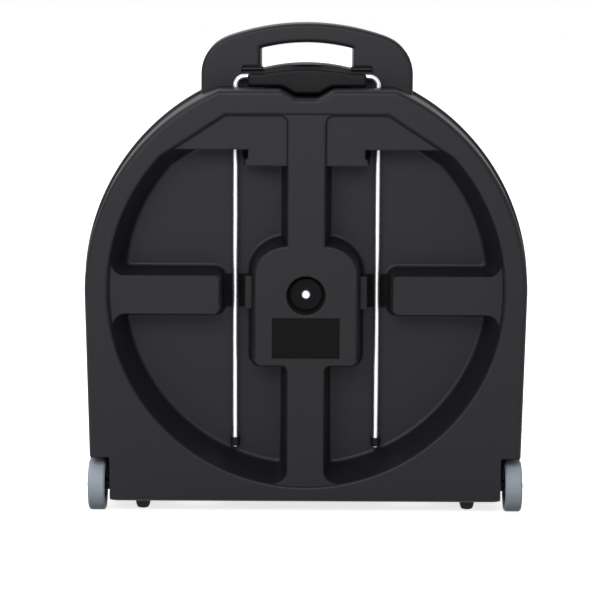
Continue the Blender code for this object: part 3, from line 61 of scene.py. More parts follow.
# Sizes of the case and its fittings, as in the CAD source where it has them
ARC_RADIUS = 305 * MM
ARC_HEIGHT = 311 * MM
TOP_HEIGHT = 591 * MM
BOTTOM_HEIGHT = 18.7 * MM
BOTTOM_HALF = 298 * MM
CORNER_RADIUS = 38 * MM
REAR_DEPTH = 95 * MM
LID_DEPTH = 90 * MM
WALL = 4 * MM
EDGE_RADIUS = 7.5 * MM
LID_EDGE_RADIUS = 16 * MM
LID_PANEL_RADIUS = 232 * MM
LID_PANEL_DEEP = 4 * MM
FLANK_DRAFT = 2.5 * MM
LIP_OUT = 4 * MM
LIP_THICK = 5 * MM
PARTING_GAP = 0.15 * MM
RECESS_RADIUS = 274.4 * MM
RECESS_HEIGHT = 313.7 * MM
RECESS_TOP = 558.5 * MM
RECESS_TOP_HALF = 112 * MM
RECESS_CHAMFER_FROM = radians(43)
RECESS_DEPTH = 60 * MM
RING_DRAFT = 21 * MM
RIB_DRAFT = 8 * MM
RIB_SET_BACK = 4 * MM
BLOCK_SET_BACK = 10 * MM
SHELF_STEP = 0.4 * MM
LARGE_CORNER = 15 * MM
POCKET_STEP = 0.05 * MM
RIB_HALF = 25.3 * MM
POCKET_CORNER = 19 * MM
CROSS_HEIGHT = 308 * MM
CHANNEL_OUTER = 122 * MM
BOSS_HALF = 70 * MM
BOSS_BOTTOM = 210 * MM
BOSS_SHOULDER = 338 * MM
BOSS_TOP = 376 * MM
BOSS_CORNER = 8 * MM
BLOCK_LOW = 486 * MM
BLOCK_HIGH = 508.4 * MM
BLOCK_STEP = 84.5 * MM
BLOCK_CORNER = 12.5 * MM
NOTCH_WIDE = 8 * MM
NOTCH_HIGH = 11 * MM
PANEL_HALF = 47 * MM
PANEL_LOW = 220 * MM
PANEL_HIGH = 277 * MM
PANEL_DEEP = 1.6 * MM
ARCH_HALF = 146.5 * MM
ARCH_TOP = 679.5 * MM
ARCH_CURVE = 330 * MM
ARCH_CORNER = 54 * MM
ARCH_ROOT = 572 * MM
ARCH_REAR = 34 * MM
ARCH_FRONT = 18 * MM
ARCH_EDGE = 6 * MM
GAP_HALF = 62.5 * MM
GAP_TOP = 651.5 * MM
GAP_LOW = 624.5 * MM
GAP_CURVE = 250 * MM
GAP_DRAFT = 2 * MM
NEST_HALF = 91 * MM
NEST_TOP = 622 * MM
NEST_DEEP = 8 * MM
NEST_CORNER = 6 * MM
NEST_BAR = 616.2 * MM
NEST_BAR_BACK = -28.5 * MM
NEST_BAR_RADIUS = 2.8 * MM
STUB_END = 85 * MM
STUB_LOW = 284.5 * MM
STUB_TOP = 331.5 * MM
NOTCH_END = 89 * MM
STUB_HIGH = 26 * MM
SCOOP_HALF = 37 * MM
SCOOP_FLOOR_HALF = 15 * MM
SCOOP_DEEP = 12.5 * MM
ROD_APART = 98.5 * MM
ROD_BACK = 44 * MM
ROD_LOW = 88 * MM
ROD_RADIUS = 4 * MM
ROD_BEND = 13 * MM
ROD_IN_GRIP = 8 * MM
STOP_BORE = 4.15 * MM
STOP_RADIUS = 6.5 * MM
STOP_LONG = 12 * MM
ROD_BORE = 4.4 * MM
GUIDE_HOLE = 6.95 * MM
GUIDE_RADIUS = 6.8 * MM
GUIDE_FLANGE_RADIUS = 8.5 * MM
GUIDE_FLANGE_THICK = 1.8 * MM
AXLE_BORE = 4.4 * MM
WHEEL_RADIUS = 36 * MM
WHEEL_MIDDLE = 290.5 * MM
WHEEL_BACK = 58 * MM
WHEEL_HALF = 12 * MM
RIM_RADIUS = 27 * MM
TREAD_EDGE = 2.5 * MM
TREAD_FOOT = 3 * MM
TREAD_DROP = 0.4 * MM
HUB_BOSS = 10 * MM
HUB_WEB_HALF = 4 * MM
HUB_SINK = 2 * MM
HUB_DRAFT = 0.6 * MM
HUB_RIM = 3.2 * MM
HUB_RIM_FOOT = 4 * MM
AXLE_RADIUS = 4 * MM
AXLE_HEAD_RADIUS = 7 * MM
AXLE_HEAD_THICK = 3 * MM
AXLE_HEAD_EDGE = MM
AXLE_HEAD_CROWN = 0.6 * MM
AXLE_PAST_WALL = 8 * MM
SPACER_RADIUS = 8 * MM
FOOT_RADIUS = 11 * MM
FOOT_TIP_RADIUS = 6 * MM
FOOT_COLLAR = 4 * MM
HINGE_PIN_RADIUS = 1.7 * MM
WELL_INNER = 271.5 * MM
WELL_ROOF = 81.5 * MM
WELL_BACK = -17 * MM
LATCH_HEIGHT = 311 * MM
LATCH_POCKET_DEEP = 12 * MM
LATCH_POCKET_HALF = 23 * MM
LATCH_POCKET_REAR = 46 * MM
LATCH_POCKET_FRONT = 32 * MM
BOLT_HEIGHT = 308 * MM
HOLE_RADIUS = 26.7 * MM
HOLE_DEEP = 18 * MM
BOLT_BORE = 4.4 * MM
BOLT_RADIUS = 4 * MM
BOLT_END = 52 * MM
BOLT_HEAD_RADIUS = 7 * MM
BOLT_HEAD_THICK = 5 * MM
BOLT_HEAD_EDGE = 2 * MM
BOLT_TIP = 0.8 * MM
DISC_RADIUS = 22 * MM
DISC_THICK = 3 * MM
BASE_RADIUS = 34 * MM
BASE_FLANGE = 5 * MM
BASE_NECK = 17 * MM
BASE_NECK_FOOT = 19 * MM
BASE_TOP = -12 * MM
SLEEVE_RADIUS = 6 * MM
SLEEVE_LOW = -11.85 * MM
SLEEVE_TOP = 28 * MM
FELT_BORE = 6.15 * MM
FELT_RADIUS = 20 * MM
FELT_THICK = 6 * MM
UPPER_FELT_LOW = 20 * MM
PLATE_LOW = 26.15 * MM
PLATE_RADIUS = 24 * MM
PLATE_THICK = 3 * MM
LINER_THICK = 12 * MM
LINER_EDGE = 6 * MM
LINER_CROWN = 2 * MM
LINER_BACK_EDGE = 1.5 * MM
LINER_RADIUS = 262 * MM
LINER_HOLE = 48 * MM
LINER_FOOT = 50 * MM
LID_LINER_MIDDLE = 2 * MM
LID_LINER_RADIUS = 228 * MM
GRIP_HALF = 82 * MM
GRIP_LOW = 592.5 * MM
GRIP_HIGH = 617.5 * MM
GRIP_SHOULDER = 611 * MM
GRIP_THICK = 18 * MM
GRIP_EDGE = 4.8 * MM
SOCKET_RADIUS = 4.2 * MM
SOCKET_DEEP = 8.2 * MM
ROD_UNDER_MIDDLE = 2 * MM
STOP_OVER_END = MM
GRIP_BULGE = 10 * MM
GRIP_CORNER = 5 * MM
GRIP_ARC_HALF = 64 * MM
GRIP_CURVE = 300 * MM

# What the looks add: roundings, small gaps, and how far a cutter reaches past what it cuts
SEAT_GAP = 0.15 * MM
HAIR = 0.01 * MM
LEAST_CORNER = 0.8 * MM
LEAST_STEP = 0.08 * MM
MERGE_WITHIN = 0.002 * MM
CAD_MERGE_WITHIN = 0.004 * MM
SHORT_REACH = 10 * MM
REACH = 20 * MM
LIP_EASING = 1.2 * MM
ARCH_EASING = 0.4 * MM
LID_PANEL_EDGE = 1.5 * MM
CHAMFER_CORNER = 6 * MM
RIM_FILLET = 0.8 * MM
SHELF_FILLET = 2 * MM
HOLE_LIP = 2 * MM
HOLE_FILLET = 1.5 * MM
PANEL_BEVEL = 1.2 * MM
GAP_CORNER = 2.5 * MM
GAP_REACH = 12 * MM
SCOOP_PROUD = 0.02 * MM
SCOOP_CORNER = 12 * MM
SCOOP_SHOULDER = 14 * MM
SCOOP_PAST_GRIP = 1.5 * MM
SCOOP_LIP = 6 * MM
SCOOP_FILLET = 5 * MM
NEST_OVER_TOP = 0.6 * MM
GROOVE_OVER_GRIP = 0.8 * MM
GROOVE_DEEP = 3 * MM
LATCH_POCKET_EDGE = 2 * MM
WELL_EDGE = 2.5 * MM
STUB_SET_OUT = 4 * MM
STUB_EDGE = 2 * MM
BAR_INSET = 2 * MM
GRIP_INSET = 3 * MM
GRIP_BULGE_CORNER = 10 * MM
GRIP_BULGE_OUT = 2 * MM

# Shares: of the room beside a corner that its fillet may take, of its radius that a large corner keeps,
# of the handle's corner that its top arc stops short by, and of the gap's upper lip that its lower lip has
ROOM_SHARE = 0.85
LARGE_SHARE = 0.6
ARCH_LEAN_SHARE = 0.7
GAP_LOW_SHARE = 0.4

# The stage, in metres; the camera's shift is the photograph's, in shares of its width
FLOOR_SIZE = 30
FLOOR_LOW = -0.0002
PAPER_COLOUR = (0.8, 0.8, 0.8, 1)
PAPER_ROUGHNESS = 0.9
PAPER_GLOW = 0.75
# The paper's colour for bounce light, from near the object to far from it: painted shade near the object
PAPER_PAINTED_SHADE = {"From_Min": 0.4, "From_Max": 1.0, "To_Min": 0.05, "To_Max": 0.95}
FILL_COLOUR = (1.0, 0.99, 1.02, 1)
WHITE = (1, 1, 1, 1)
LAMP_COLOUR = (0.93, 0.92, 1.0)
FRONT_BOX = {"place": (-0.5, -2.25, 1.5), "aim": (0, 0, 0.52), "size": (2.4, 1.0)}
RIM_BOX = {"place": (-0.7, 0.9, 2.3), "aim": (0, 0, 0.4), "size": (2.4, 0.8)}
CAMERA_AIM = Vector((0, -0.0885, 0.311))
CAMERA_SENSOR = 36
CAMERA_SHIFT = (-11 / 590, -2 / 590)

REAR_FACE = -REAR_DEPTH
RIB_FACE = REAR_FACE + RIB_SET_BACK
BLOCK_FACE = REAR_FACE + BLOCK_SET_BACK
POCKET_FLOOR = REAR_FACE + RECESS_DEPTH
HOLE_FLOOR = RIB_FACE + HOLE_DEEP
ARCH_ROOM_LOW = TOP_HEIGHT + FLANK_DRAFT + LIP_OUT + MM
ARC_STEP = radians(1.5)
FILLET_STEP = radians(9)
PANEL_FLOOR = RIB_FACE + PANEL_DEEP

# Where the shell's plastic is darker and rougher, and how it changes there: a duller finish on the panel,
# painted shade on the channels' and notches' floors, and darker in the bolt recess
PANEL_EDGE = 0.6 * MM
PANEL_DEPTH_SPAN = 0.5 * MM
FLOOR_SPAN = 5 * MM
CHANNEL_SHADE_HALF = CHANNEL_OUTER - 7 * MM
NOTCH_SHADE_LOW = BLOCK_HIGH - 15 * MM
HOLE_DULL_FROM = RIB_FACE + 1.5 * MM
HOLE_DULL_TO = RIB_FACE + 30 * MM
DULL_ROUGHER = 0.5
# Near-black colour under the mask: the panel's darker finish, and painted shade on the channels' and notches'
# floors
DULL_AND_SHADE_COLOUR = (0.001, 0.001, 0.001, 1)
# Boxes in (distance from the middle plane, y, z), each given by its low and its high corner
DULL_AND_SHADED_FLOORS = (
    # The panel: a duller, darker finish
    (
        (-MM, PANEL_FLOOR - PANEL_DEPTH_SPAN, PANEL_LOW + PANEL_EDGE),
        (PANEL_HALF - PANEL_EDGE, PANEL_FLOOR + PANEL_DEPTH_SPAN, PANEL_HIGH - PANEL_EDGE),
    ),
    # The channels' floors beside the stubs: painted shade, dark as the deep channel lies in shadow
    (
        (STUB_END - MM, POCKET_FLOOR - FLOOR_SPAN, STUB_LOW),
        (CHANNEL_SHADE_HALF, POCKET_FLOOR + MM, STUB_TOP),
    ),
    # The notches' floors under the blocks: painted shade
    (
        (NOTCH_END - NOTCH_WIDE, POCKET_FLOOR - FLOOR_SPAN, NOTCH_SHADE_LOW),
        (NOTCH_END, POCKET_FLOOR + MM, BLOCK_HIGH),
    ),
    # The bolt recess: darker and rougher
    (
        (-MM, HOLE_DULL_FROM, BOLT_HEIGHT - HOLE_RADIUS - MM),
        (HOLE_RADIUS + MM, HOLE_DULL_TO, BOLT_HEIGHT + HOLE_RADIUS + MM),
    ),
)


# Settings a user would change


class CaseShape(bpy.types.PropertyGroup):
    rim_lip: FloatProperty(
        name="Rim lip", description="Rounding of the recess's outer edge", default=3 * MM, unit="LENGTH"
    )
    rib_lip: FloatProperty(
        name="Rib lip", description="Rounding of the ribs' and boss's edges", default=3.2 * MM, unit="LENGTH"
    )
    block_lip: FloatProperty(
        name="Block lip", description="Rounding of the blocks' lower edges", default=2 * MM, unit="LENGTH"
    )
    floor_fillet: FloatProperty(
        name="Floor fillet", description="Hollow rounding at the floors", default=5 * MM, unit="LENGTH"
    )
    gap_lip: FloatProperty(
        name="Gap lip", description="Rounding of the finger gap's edges", default=6 * MM, unit="LENGTH"
    )


class CaseColours(bpy.types.PropertyGroup):
    shell: FloatVectorProperty(
        name="Shell", description="Charcoal shell plastic", default=(0.0055, 0.0052, 0.0064), subtype="COLOR"
    )
    black: FloatVectorProperty(
        name="Black plastic",
        description="Grip, sleeves and hubs",
        default=(0.004, 0.004, 0.0044),
        subtype="COLOR",
    )
    tyre: FloatVectorProperty(
        name="Tyre", description="Blue-grey tyre rubber", default=(0.212, 0.246, 0.262), subtype="COLOR"
    )
    foam: FloatVectorProperty(
        name="Foam", description="Cloth face of the foam liners", default=(0.05, 0.05, 0.055), subtype="COLOR"
    )


class CaseStage(bpy.types.PropertyGroup):
    camera_distance: FloatProperty(
        name="Camera distance", description="From the case's back along the lens", default=3.5, unit="LENGTH"
    )
    camera_tilt: FloatProperty(
        name="Camera tilt", description="Downward tilt", default=radians(8), unit="ROTATION"
    )
    camera_roll: FloatProperty(
        name="Camera roll", description="Turn about the lens", default=radians(0.3), unit="ROTATION"
    )
    view_width: FloatProperty(
        name="View width", description="Width seen at the case's back", default=0.8135, unit="LENGTH"
    )
    key_power: FloatProperty(
        name="Key light", description="Power of the wide front softbox in watts", default=68.0
    )
    rim_power: FloatProperty(
        name="Rim light", description="Power of the light over the back in watts", default=40.0
    )
    fill_strength: FloatProperty(
        name="Fill light", description="Strength of the even surrounding light", default=0.63
    )


# Outlines


def turn_at(before, here, after):
    """The outline's turn at a corner, positive where the corner is convex."""
    a, b = (here - before).normalized(), (after - here).normalized()
    return a.x * b.y - a.y * b.x, a.angle(b)


def arc_steps(corners):
    """How many steps each corner's fillet takes, or 0 where it has none."""
    points = [Vector(corner[:2]) for corner in corners]
    steps = []
    for i, corner in enumerate(corners):
        _, turn = turn_at(points[i - 1], points[i], points[(i + 1) % len(points)])
        steps.append(max(2, ceil(turn / FILLET_STEP)) if corner[2] else 0)
    return steps


def filleted(points, radii, steps):
    """Replace each corner that has steps by an arc of its radius."""
    out = []
    for i, here in enumerate(points):
        if not steps[i]:
            out.append(here)
            continue
        back = (points[i - 1] - here).normalized()
        ahead = (points[(i + 1) % len(points)] - here).normalized()
        half = back.angle(ahead) / 2
        centre = here + (back + ahead).normalized() * radii[i] / sin(half)
        start = here + back * radii[i] / tan(half) - centre
        end = here + ahead * radii[i] / tan(half) - centre
        turn = pi - 2 * half
        for k in range(steps[i] + 1):
            share = k / steps[i]
            spoke = (start * sin((1 - share) * turn) + end * sin(share * turn)) / sin(turn)
            out.append(centre + spoke)
    return out


def room_at(points, i):
    """The largest fillet that fits a corner between its neighbours."""
    back, ahead = points[i - 1] - points[i], points[(i + 1) % len(points)] - points[i]
    return ROOM_SHARE * min(back.length, ahead.length) * tan(back.angle(ahead) / 2)


def plain(corners):
    """Fillet an outline whose corners are (x, z, radius, and perhaps traits)."""
    return filleted([Vector(c[:2]) for c in corners], [c[2] for c in corners], arc_steps(corners))


def grown(points, amounts):
    """Move each edge of an anticlockwise outline outwards, by one amount or by one for each edge."""
    if isinstance(amounts, (int, float)):
        amounts = [amounts] * len(points)
    moved = []
    for i, here in enumerate(points):
        before, after = here - points[i - 1], points[(i + 1) % len(points)] - here
        a = Vector((before.y, -before.x)).normalized()
        b = Vector((after.y, -after.x)).normalized()
        reach_a, reach_b = amounts[i - 1], amounts[i]
        turn = a.x * b.y - a.y * b.x
        if abs(turn) < 0.02:
            moved.append(here + (a + b).normalized() * (reach_a + reach_b) / 2)
            continue
        step_x = (reach_a * b.y - reach_b * a.y) / turn
        step_z = (reach_b * a.x - reach_a * b.x) / turn
        moved.append(here + Vector((step_x, step_z)))
    return moved


def arc_points(radius, height, start, end, step=ARC_STEP):
    count = max(2, ceil(abs(end - start) / step))
    angles = [start + (end - start) * k / count for k in range(count + 1)]
    return [(radius * cos(a), height + radius * sin(a)) for a in angles]


def case_outline():
    """A round top cut flat, and sides that run down to the floor."""
    flat = asin((TOP_HEIGHT - ARC_HEIGHT) / ARC_RADIUS)
    corners = [(-BOTTOM_HALF, BOTTOM_HEIGHT, CORNER_RADIUS), (BOTTOM_HALF, BOTTOM_HEIGHT, CORNER_RADIUS)]
    corners += [(x, z, 0) for x, z in arc_points(ARC_RADIUS, ARC_HEIGHT, 0, flat)]
    corners += [(x, z, 0) for x, z in arc_points(ARC_RADIUS, ARC_HEIGHT, pi - flat, pi)]
    return plain(corners)


OUTLINE = case_outline()
PARTING_OUTLINE = grown(OUTLINE, FLANK_DRAFT)


def chamfer_end():
    return (
        RECESS_RADIUS * cos(RECESS_CHAMFER_FROM),
        RECESS_HEIGHT + RECESS_RADIUS * sin(RECESS_CHAMFER_FROM),
    )


def chamfer_at(height):
    x, z = chamfer_end()
    return x + (RECESS_TOP_HALF - x) * (height - z) / (RECESS_TOP - z)


def ring_at(height):
    return sqrt(RECESS_RADIUS**2 - (height - RECESS_HEIGHT) ** 2)


def ring_angle(height):
    return asin((height - RECESS_HEIGHT) / RECESS_RADIUS)


def recess_outline(lip):
    """The whole recess: a circle with a flat top and a straight run at each side of it."""
    edge = (RING_DRAFT, REAR_FACE, lip)
    around = arc_points(RECESS_RADIUS, RECESS_HEIGHT, -pi - RECESS_CHAMFER_FROM, RECESS_CHAMFER_FROM)
    corners = [(x, z, 0, edge) for x, z in around]
    top = [(x, RECESS_TOP, CHAMFER_CORNER, edge) for x in (RECESS_TOP_HALF, -RECESS_TOP_HALF)]
    return corners + top


def boss_side(edge):
    """The +X side of the boss from its foot to the rib above it."""
    corners = [(RIB_HALF, BOSS_BOTTOM, BOSS_CORNER, edge), (BOSS_HALF, BOSS_BOTTOM, BOSS_CORNER, edge)]
    steps = 16
    for k in range(steps + 1):
        turn = k * pi / 2 / steps
        x = RIB_HALF + (BOSS_HALF - RIB_HALF) * cos(turn)
        z = BOSS_SHOULDER + (BOSS_TOP - BOSS_SHOULDER) * sin(turn)
        corners.append((x, z, 0, edge))
    return corners


def ring_side(low, high, edge):
    points = arc_points(RECESS_RADIUS, RECESS_HEIGHT, ring_angle(low), ring_angle(high))
    return [(x, z, 0, edge) for x, z in points[1:-1]]


def rib_foot():
    """The height at which the middle rib's side meets the lower rim."""
    return RECESS_HEIGHT - sqrt(RECESS_RADIUS**2 - RIB_HALF**2)


def shelf_outline(lip):
    """The +X part of the recess beside the rib and the boss, at the level of the guide blocks."""
    ring, rib = (RING_DRAFT, RIB_FACE, 0.0), (RIB_DRAFT, RIB_FACE, lip)
    foot, (chamfer_x, chamfer_z) = rib_foot(), chamfer_end()
    corners = [(RIB_HALF, foot, POCKET_CORNER, ring)]
    corners += ring_side(foot, chamfer_z, ring)[2:]
    corners += [
        (chamfer_x, chamfer_z, 0, ring),
        (RECESS_TOP_HALF, RECESS_TOP, CHAMFER_CORNER, ring),
        (RIB_HALF, RECESS_TOP, BLOCK_CORNER, rib),
    ]
    return corners + list(reversed(boss_side(rib)))


def pocket_outline(lip, block_lip):
    """The +X deep pocket: it runs behind the rods, past the end of the side rib."""
    ring, rib = (RING_DRAFT, RIB_FACE, 0.0), (RIB_DRAFT, RIB_FACE, lip)
    block, last = (0.0, BLOCK_FACE, block_lip), (RIB_DRAFT, BLOCK_FACE, block_lip)
    foot, (chamfer_x, chamfer_z) = rib_foot(), chamfer_end()
    low, high = CROSS_HEIGHT - RIB_HALF, CROSS_HEIGHT + RIB_HALF
    corners = [(RIB_HALF, foot, POCKET_CORNER, ring)]
    corners += ring_side(foot, low, ring)[2:-2]
    corners += [
        (ring_at(low), low, POCKET_CORNER, rib),
        (CHANNEL_OUTER, low, WALL + MM, rib),
        (CHANNEL_OUTER, high, WALL + MM, rib),
        (ring_at(high), high, POCKET_CORNER, ring),
    ]
    corners += ring_side(high, chamfer_z, ring)[2:]
    notch = BLOCK_STEP - NOTCH_WIDE / 2
    corners += [
        (chamfer_x, chamfer_z, 0, ring),
        (chamfer_at(BLOCK_HIGH), BLOCK_HIGH, 0, block),
        (notch, BLOCK_HIGH, 0, block),
        (notch, BLOCK_HIGH - NOTCH_HIGH, 0, block),
        (BLOCK_STEP, BLOCK_HIGH - NOTCH_HIGH - NOTCH_WIDE / 2, 0, block),
        (BLOCK_STEP, BLOCK_LOW, 0, block),
        (RIB_HALF, BLOCK_LOW, 0, rib),
    ]
    return corners + list(reversed(boss_side(rib)))


def arch_outline(root=ARCH_ROOT):
    """The carry handle's outline: a low arc between two round shoulders."""
    centre = ARCH_TOP - ARCH_CURVE
    shoulder = centre + sqrt(ARCH_CURVE**2 - ARCH_HALF**2)
    lean = asin((ARCH_HALF - ARCH_LEAN_SHARE * ARCH_CORNER) / ARCH_CURVE)
    top = [(x, z, 0) for x, z in arc_points(ARCH_CURVE, centre, pi / 2 - lean, pi / 2 + lean, radians(1))]
    corners = [(-ARCH_HALF, root, 0), (ARCH_HALF, root, 0), (ARCH_HALF, shoulder, ARCH_CORNER)]
    return plain(corners + top + [(-ARCH_HALF, shoulder, ARCH_CORNER)])


def gap_outline(low_lip, high_lip):
    """The finger gap: its upper and lower edges are both bowed upwards."""
    lean = asin(GAP_HALF / GAP_CURVE)
    corners, steps = [], 16
    for height, start, end, edge in ((GAP_LOW, lean, -lean, low_lip), (GAP_TOP, -lean, lean, high_lip)):
        for k in range(steps + 1):
            turn = start + (end - start) * k / steps
            radius = GAP_CORNER if k in (0, steps) else 0
            here = (-GAP_CURVE * sin(turn), height - GAP_CURVE * (1 - cos(turn)), radius, edge)
            corners.append(here)
    return corners


def round_outline(radius, height, steps=96):
    return [
        Vector((radius * cos(2 * pi * k / steps), height + radius * sin(2 * pi * k / steps)))
        for k in range(steps)
    ]


def rounding(depth, radius):
    """How far a quarter-round edge stands back at a depth below its face."""
    if depth >= radius or radius <= 0:
        return 0.0
    return radius * (1 - sqrt(1 - (1 - max(depth, 0.0) / radius) ** 2))


# Meshes


def deselect():
    for obj in bpy.context.selected_objects:
        obj.select_set(False)


def make_active(obj):
    deselect()
    obj.select_set(True)
    bpy.context.view_layer.objects.active = obj


def mesh_object(name, bm):
    bmesh.ops.recalc_face_normals(bm, faces=bm.faces)
    mesh = bpy.data.meshes.new(name)
    bm.to_mesh(mesh)
    bm.free()
    obj = bpy.data.objects.new(name, mesh)
    bpy.context.scene.collection.objects.link(obj)
    return obj


def loft(name, sections):
    """A closed solid through outlines of equal length, given as (y, points), from back to front."""
    bm = bmesh.new()
    rings = [[bm.verts.new((p.x, y, p.y)) for p in points] for y, points in sections]
    for near, far in zip(rings, rings[1:]):
        for i in range(len(near)):
            j = (i + 1) % len(near)
            bm.faces.new((near[i], near[j], far[j], far[i]))
    bm.faces.new(rings[0])
    bm.faces.new(list(reversed(rings[-1])))
    return mesh_object(name, bm)


def edge_sections(outline, face, radius, inwards, steps=8):
    """Sections of a rounded edge, from the flat face at y = face to the full outline."""
    sections = []
    for k in range(steps + 1):
        turn = k * pi / 2 / steps
        amount = -radius * (1 - sin(turn))
        sections.append((face + inwards * radius * (1 - cos(turn)), grown(outline, amount)))
    return sections


def lips_and_fillets(mouth, end, lips, fillet):
    """The depths at which a cutter needs a section, from outside its mouth to its floor."""
    levels = {mouth - SHORT_REACH, end}
    for face, lip in lips:
        levels |= {face + lip * (1 - cos(k * pi / 12)) for k in range(7)} if lip else {face}
    if fillet:
        levels |= {end - fillet * (1 - cos(k * pi / 12)) for k in range(1, 7)}
    inside = sorted(level for level in levels if level <= end)
    kept = [inside[0]]
    for level in inside[1:]:
        if level - kept[-1] > LEAST_STEP:
            kept.append(level)
        elif level == inside[-1]:
            kept[-1] = level
    return kept


def pressed(name, corners, floor, grow, fillet):
    """A cutter pressed into the back. Each edge has its draft, the depth of its mouth and its lip."""
    end = floor + grow
    traits = [corner[3] for corner in corners]
    lips = {(mouth, lip) for _, mouth, lip in traits}
    steps = arc_steps(corners)
    points = [Vector(corner[:2]) for corner in corners]
    turns = [turn_at(a, b, c)[0] for a, b, c in zip(points[-1:] + points, points, points[1:] + points[:1])]
    sections = []
    for y in lips_and_fillets(REAR_FACE, end, lips, fillet):
        share = max(0.0, (y - REAR_FACE) / RECESS_DEPTH)
        inset = rounding(end - y, fillet)
        amounts = []
        for draft, mouth, lip in traits:
            step = 0 if lip else POCKET_STEP
            amounts.append(grow - step - draft * share + rounding(y - mouth, lip) - inset)
        moved = grown(points, amounts)
        radii = []
        for i, corner in enumerate(corners):
            mean = (amounts[i - 1] + amounts[i]) / 2
            radius = max(corner[2] + (mean if turns[i] > 0 else -mean), LEAST_CORNER)
            if corner[2] > LARGE_CORNER:
                radius = max(radius, min(LARGE_SHARE * corner[2], room_at(moved, i)))
            radii.append(radius)
        sections.append((y, filleted(moved, radii, steps)))
    return loft(name, sections)


def apply_modifier(obj, kind, **settings):
    """Add a modifier to the active object, set it and apply it."""
    step = obj.modifiers.new(kind.title(), kind)
    for name, value in settings.items():
        setattr(step, name, value)
    bpy.ops.object.modifier_apply(modifier=step.name)


@contextmanager
def editing(obj):
    """Edit mode on one object, with all of it selected."""
    make_active(obj)
    bpy.ops.object.mode_set(mode="EDIT")
    bpy.ops.mesh.select_all(action="SELECT")
    yield obj
    bpy.ops.object.mode_set(mode="OBJECT")


def combine(target, other, operation="DIFFERENCE"):
    """Apply one Boolean between two solids and drop the second."""
    make_active(target)
    apply_modifier(target, "BOOLEAN", operation=operation, object=other, solver="MANIFOLD")
    mesh = other.data
    bpy.data.objects.remove(other, do_unlink=True)
    bpy.data.meshes.remove(mesh)
    return target


def twin(obj):
    """The mirror image of a cutter, on the -X side."""
    copy = obj.copy()
    copy.data = obj.data.copy()
    bpy.context.scene.collection.objects.link(copy)
    copy.data.transform(Matrix.Scale(-1, 4, (1, 0, 0)))
    copy.data.flip_normals()
    return copy


def both_sides(target, obj):
    combine(target, twin(obj))
    combine(target, obj)


def soft_box(name, low, high, bevel=0.0):
    """A box with bevelled edges."""
    low, high = Vector(low), Vector(high)
    deselect()
    bpy.ops.mesh.primitive_cube_add(size=1, location=(low + high) / 2, scale=high - low)
    obj = bpy.context.object
    obj.name = name
    bpy.ops.object.transform_apply(location=True, rotation=True, scale=True)
    if bevel:
        with editing(obj):
            bpy.ops.mesh.bevel(offset=bevel, segments=4, affect="EDGES")
    return obj


def drill(name, radius, start, end, vertices=32):
    """A round bar from one point to another."""
    start, end = Vector(start), Vector(end)
    run = end - start
    deselect()
    bpy.ops.mesh.primitive_cylinder_add(
        vertices=vertices,
        radius=radius,
        depth=run.length,
        location=(start + end) / 2,
        rotation=run.to_track_quat("Z", "Y").to_euler(),
    )
    obj = bpy.context.object
    obj.name = name
    bpy.ops.object.transform_apply(location=True, rotation=True, scale=True)
    return obj


def smoothed(obj, angle=30):
    """Smooth shading that keeps flat faces flat."""
    make_active(obj)
    bpy.ops.object.shade_smooth_by_angle(angle=radians(angle))
    apply_modifier(obj, "WEIGHTED_NORMAL", keep_sharp=True)
    return obj


def merged(obj, distance=MERGE_WITHIN):
    """Merge the vertices that lie closer than a distance."""
    with editing(obj):
        bpy.ops.mesh.remove_doubles(threshold=distance)
    return obj


def finish_piece(obj, body, slot, node, look=None):
    """Give a piece its material and its body, and hide the CAD node that it stands for."""
    obj.name = obj.name.replace(" ", "_")
    obj.data.materials.clear()
    obj.data.materials.append((look or LOOKS[slot])())
    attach(obj, body)
    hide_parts(node)
    return obj


def node_copy(node, name):
    """A copy of a CAD node with its loose triangles merged."""
    obj = bpy.data.objects.new(name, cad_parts[node].data.copy())
    bpy.context.scene.collection.objects.link(obj)
    return merged(obj, CAD_MERGE_WITHIN)


def refined(node, name, bevel):
    """A copy of a CAD node with rounded edges."""
    obj = node_copy(node, name)
    with editing(obj):
        bpy.ops.mesh.dissolve_limited(angle_limit=radians(1.0))
    apply_modifier(obj, "BEVEL", width=bevel, segments=3, limit_method="ANGLE", angle_limit=radians(35))
    return smoothed(obj)


AXES = {
    "X": Matrix.Rotation(pi / 2, 4, "Y"),
    "-X": Matrix.Rotation(-pi / 2, 4, "Y"),
    "Y": Matrix.Rotation(-pi / 2, 4, "X"),
    "Z": Matrix.Identity(4),
}


def turned(name, rings, axis, place, segments, soft, bored=False):
    """A turned piece: a circle extruded and resized from ring to ring, each (radius, height).

    A bored piece's last ring is bridged to its first, and a solid one's two ends are filled.
    """
    deselect()
    radius, height = rings[0]
    bpy.ops.mesh.primitive_circle_add(vertices=segments, radius=radius, location=(0, 0, 0))
    obj = bpy.context.object
    obj.name = name
    with editing(obj):
        bpy.ops.transform.translate(value=(0, 0, height))
        if not bored:
            bpy.ops.mesh.edge_face_add()
        for next_radius, next_height in rings[1:]:
            bpy.ops.mesh.extrude_region_move(TRANSFORM_OT_translate={"value": (0, 0, next_height - height)})
            ratio = next_radius / radius
            bpy.ops.transform.resize(value=(ratio, ratio, 1), center_override=(0, 0, 0))
            radius, height = next_radius, next_height
        if bored:
            bpy.ops.mesh.select_all(action="DESELECT")
            bpy.ops.mesh.select_mode(type="EDGE")
            bpy.ops.mesh.select_non_manifold()
            bpy.ops.mesh.bridge_edge_loops()
        bpy.ops.mesh.select_all(action="SELECT")
        bpy.ops.mesh.normals_make_consistent(inside=False)
    if soft:
        apply_modifier(obj, "BEVEL", width=soft, segments=3, limit_method="ANGLE", angle_limit=radians(30))
    obj.data.transform(Matrix.Translation(place) @ AXES[axis])
    return smoothed(obj)


def tube(bore, radius, start, end):
    """The profile of a straight bored piece."""
    return [(bore, start), (radius, start), (radius, end), (bore, end)]


def mirrored(rings):
    """A profile and its mirror image below it."""
    return rings + [(radius, -height) for radius, height in rings[::-1]]


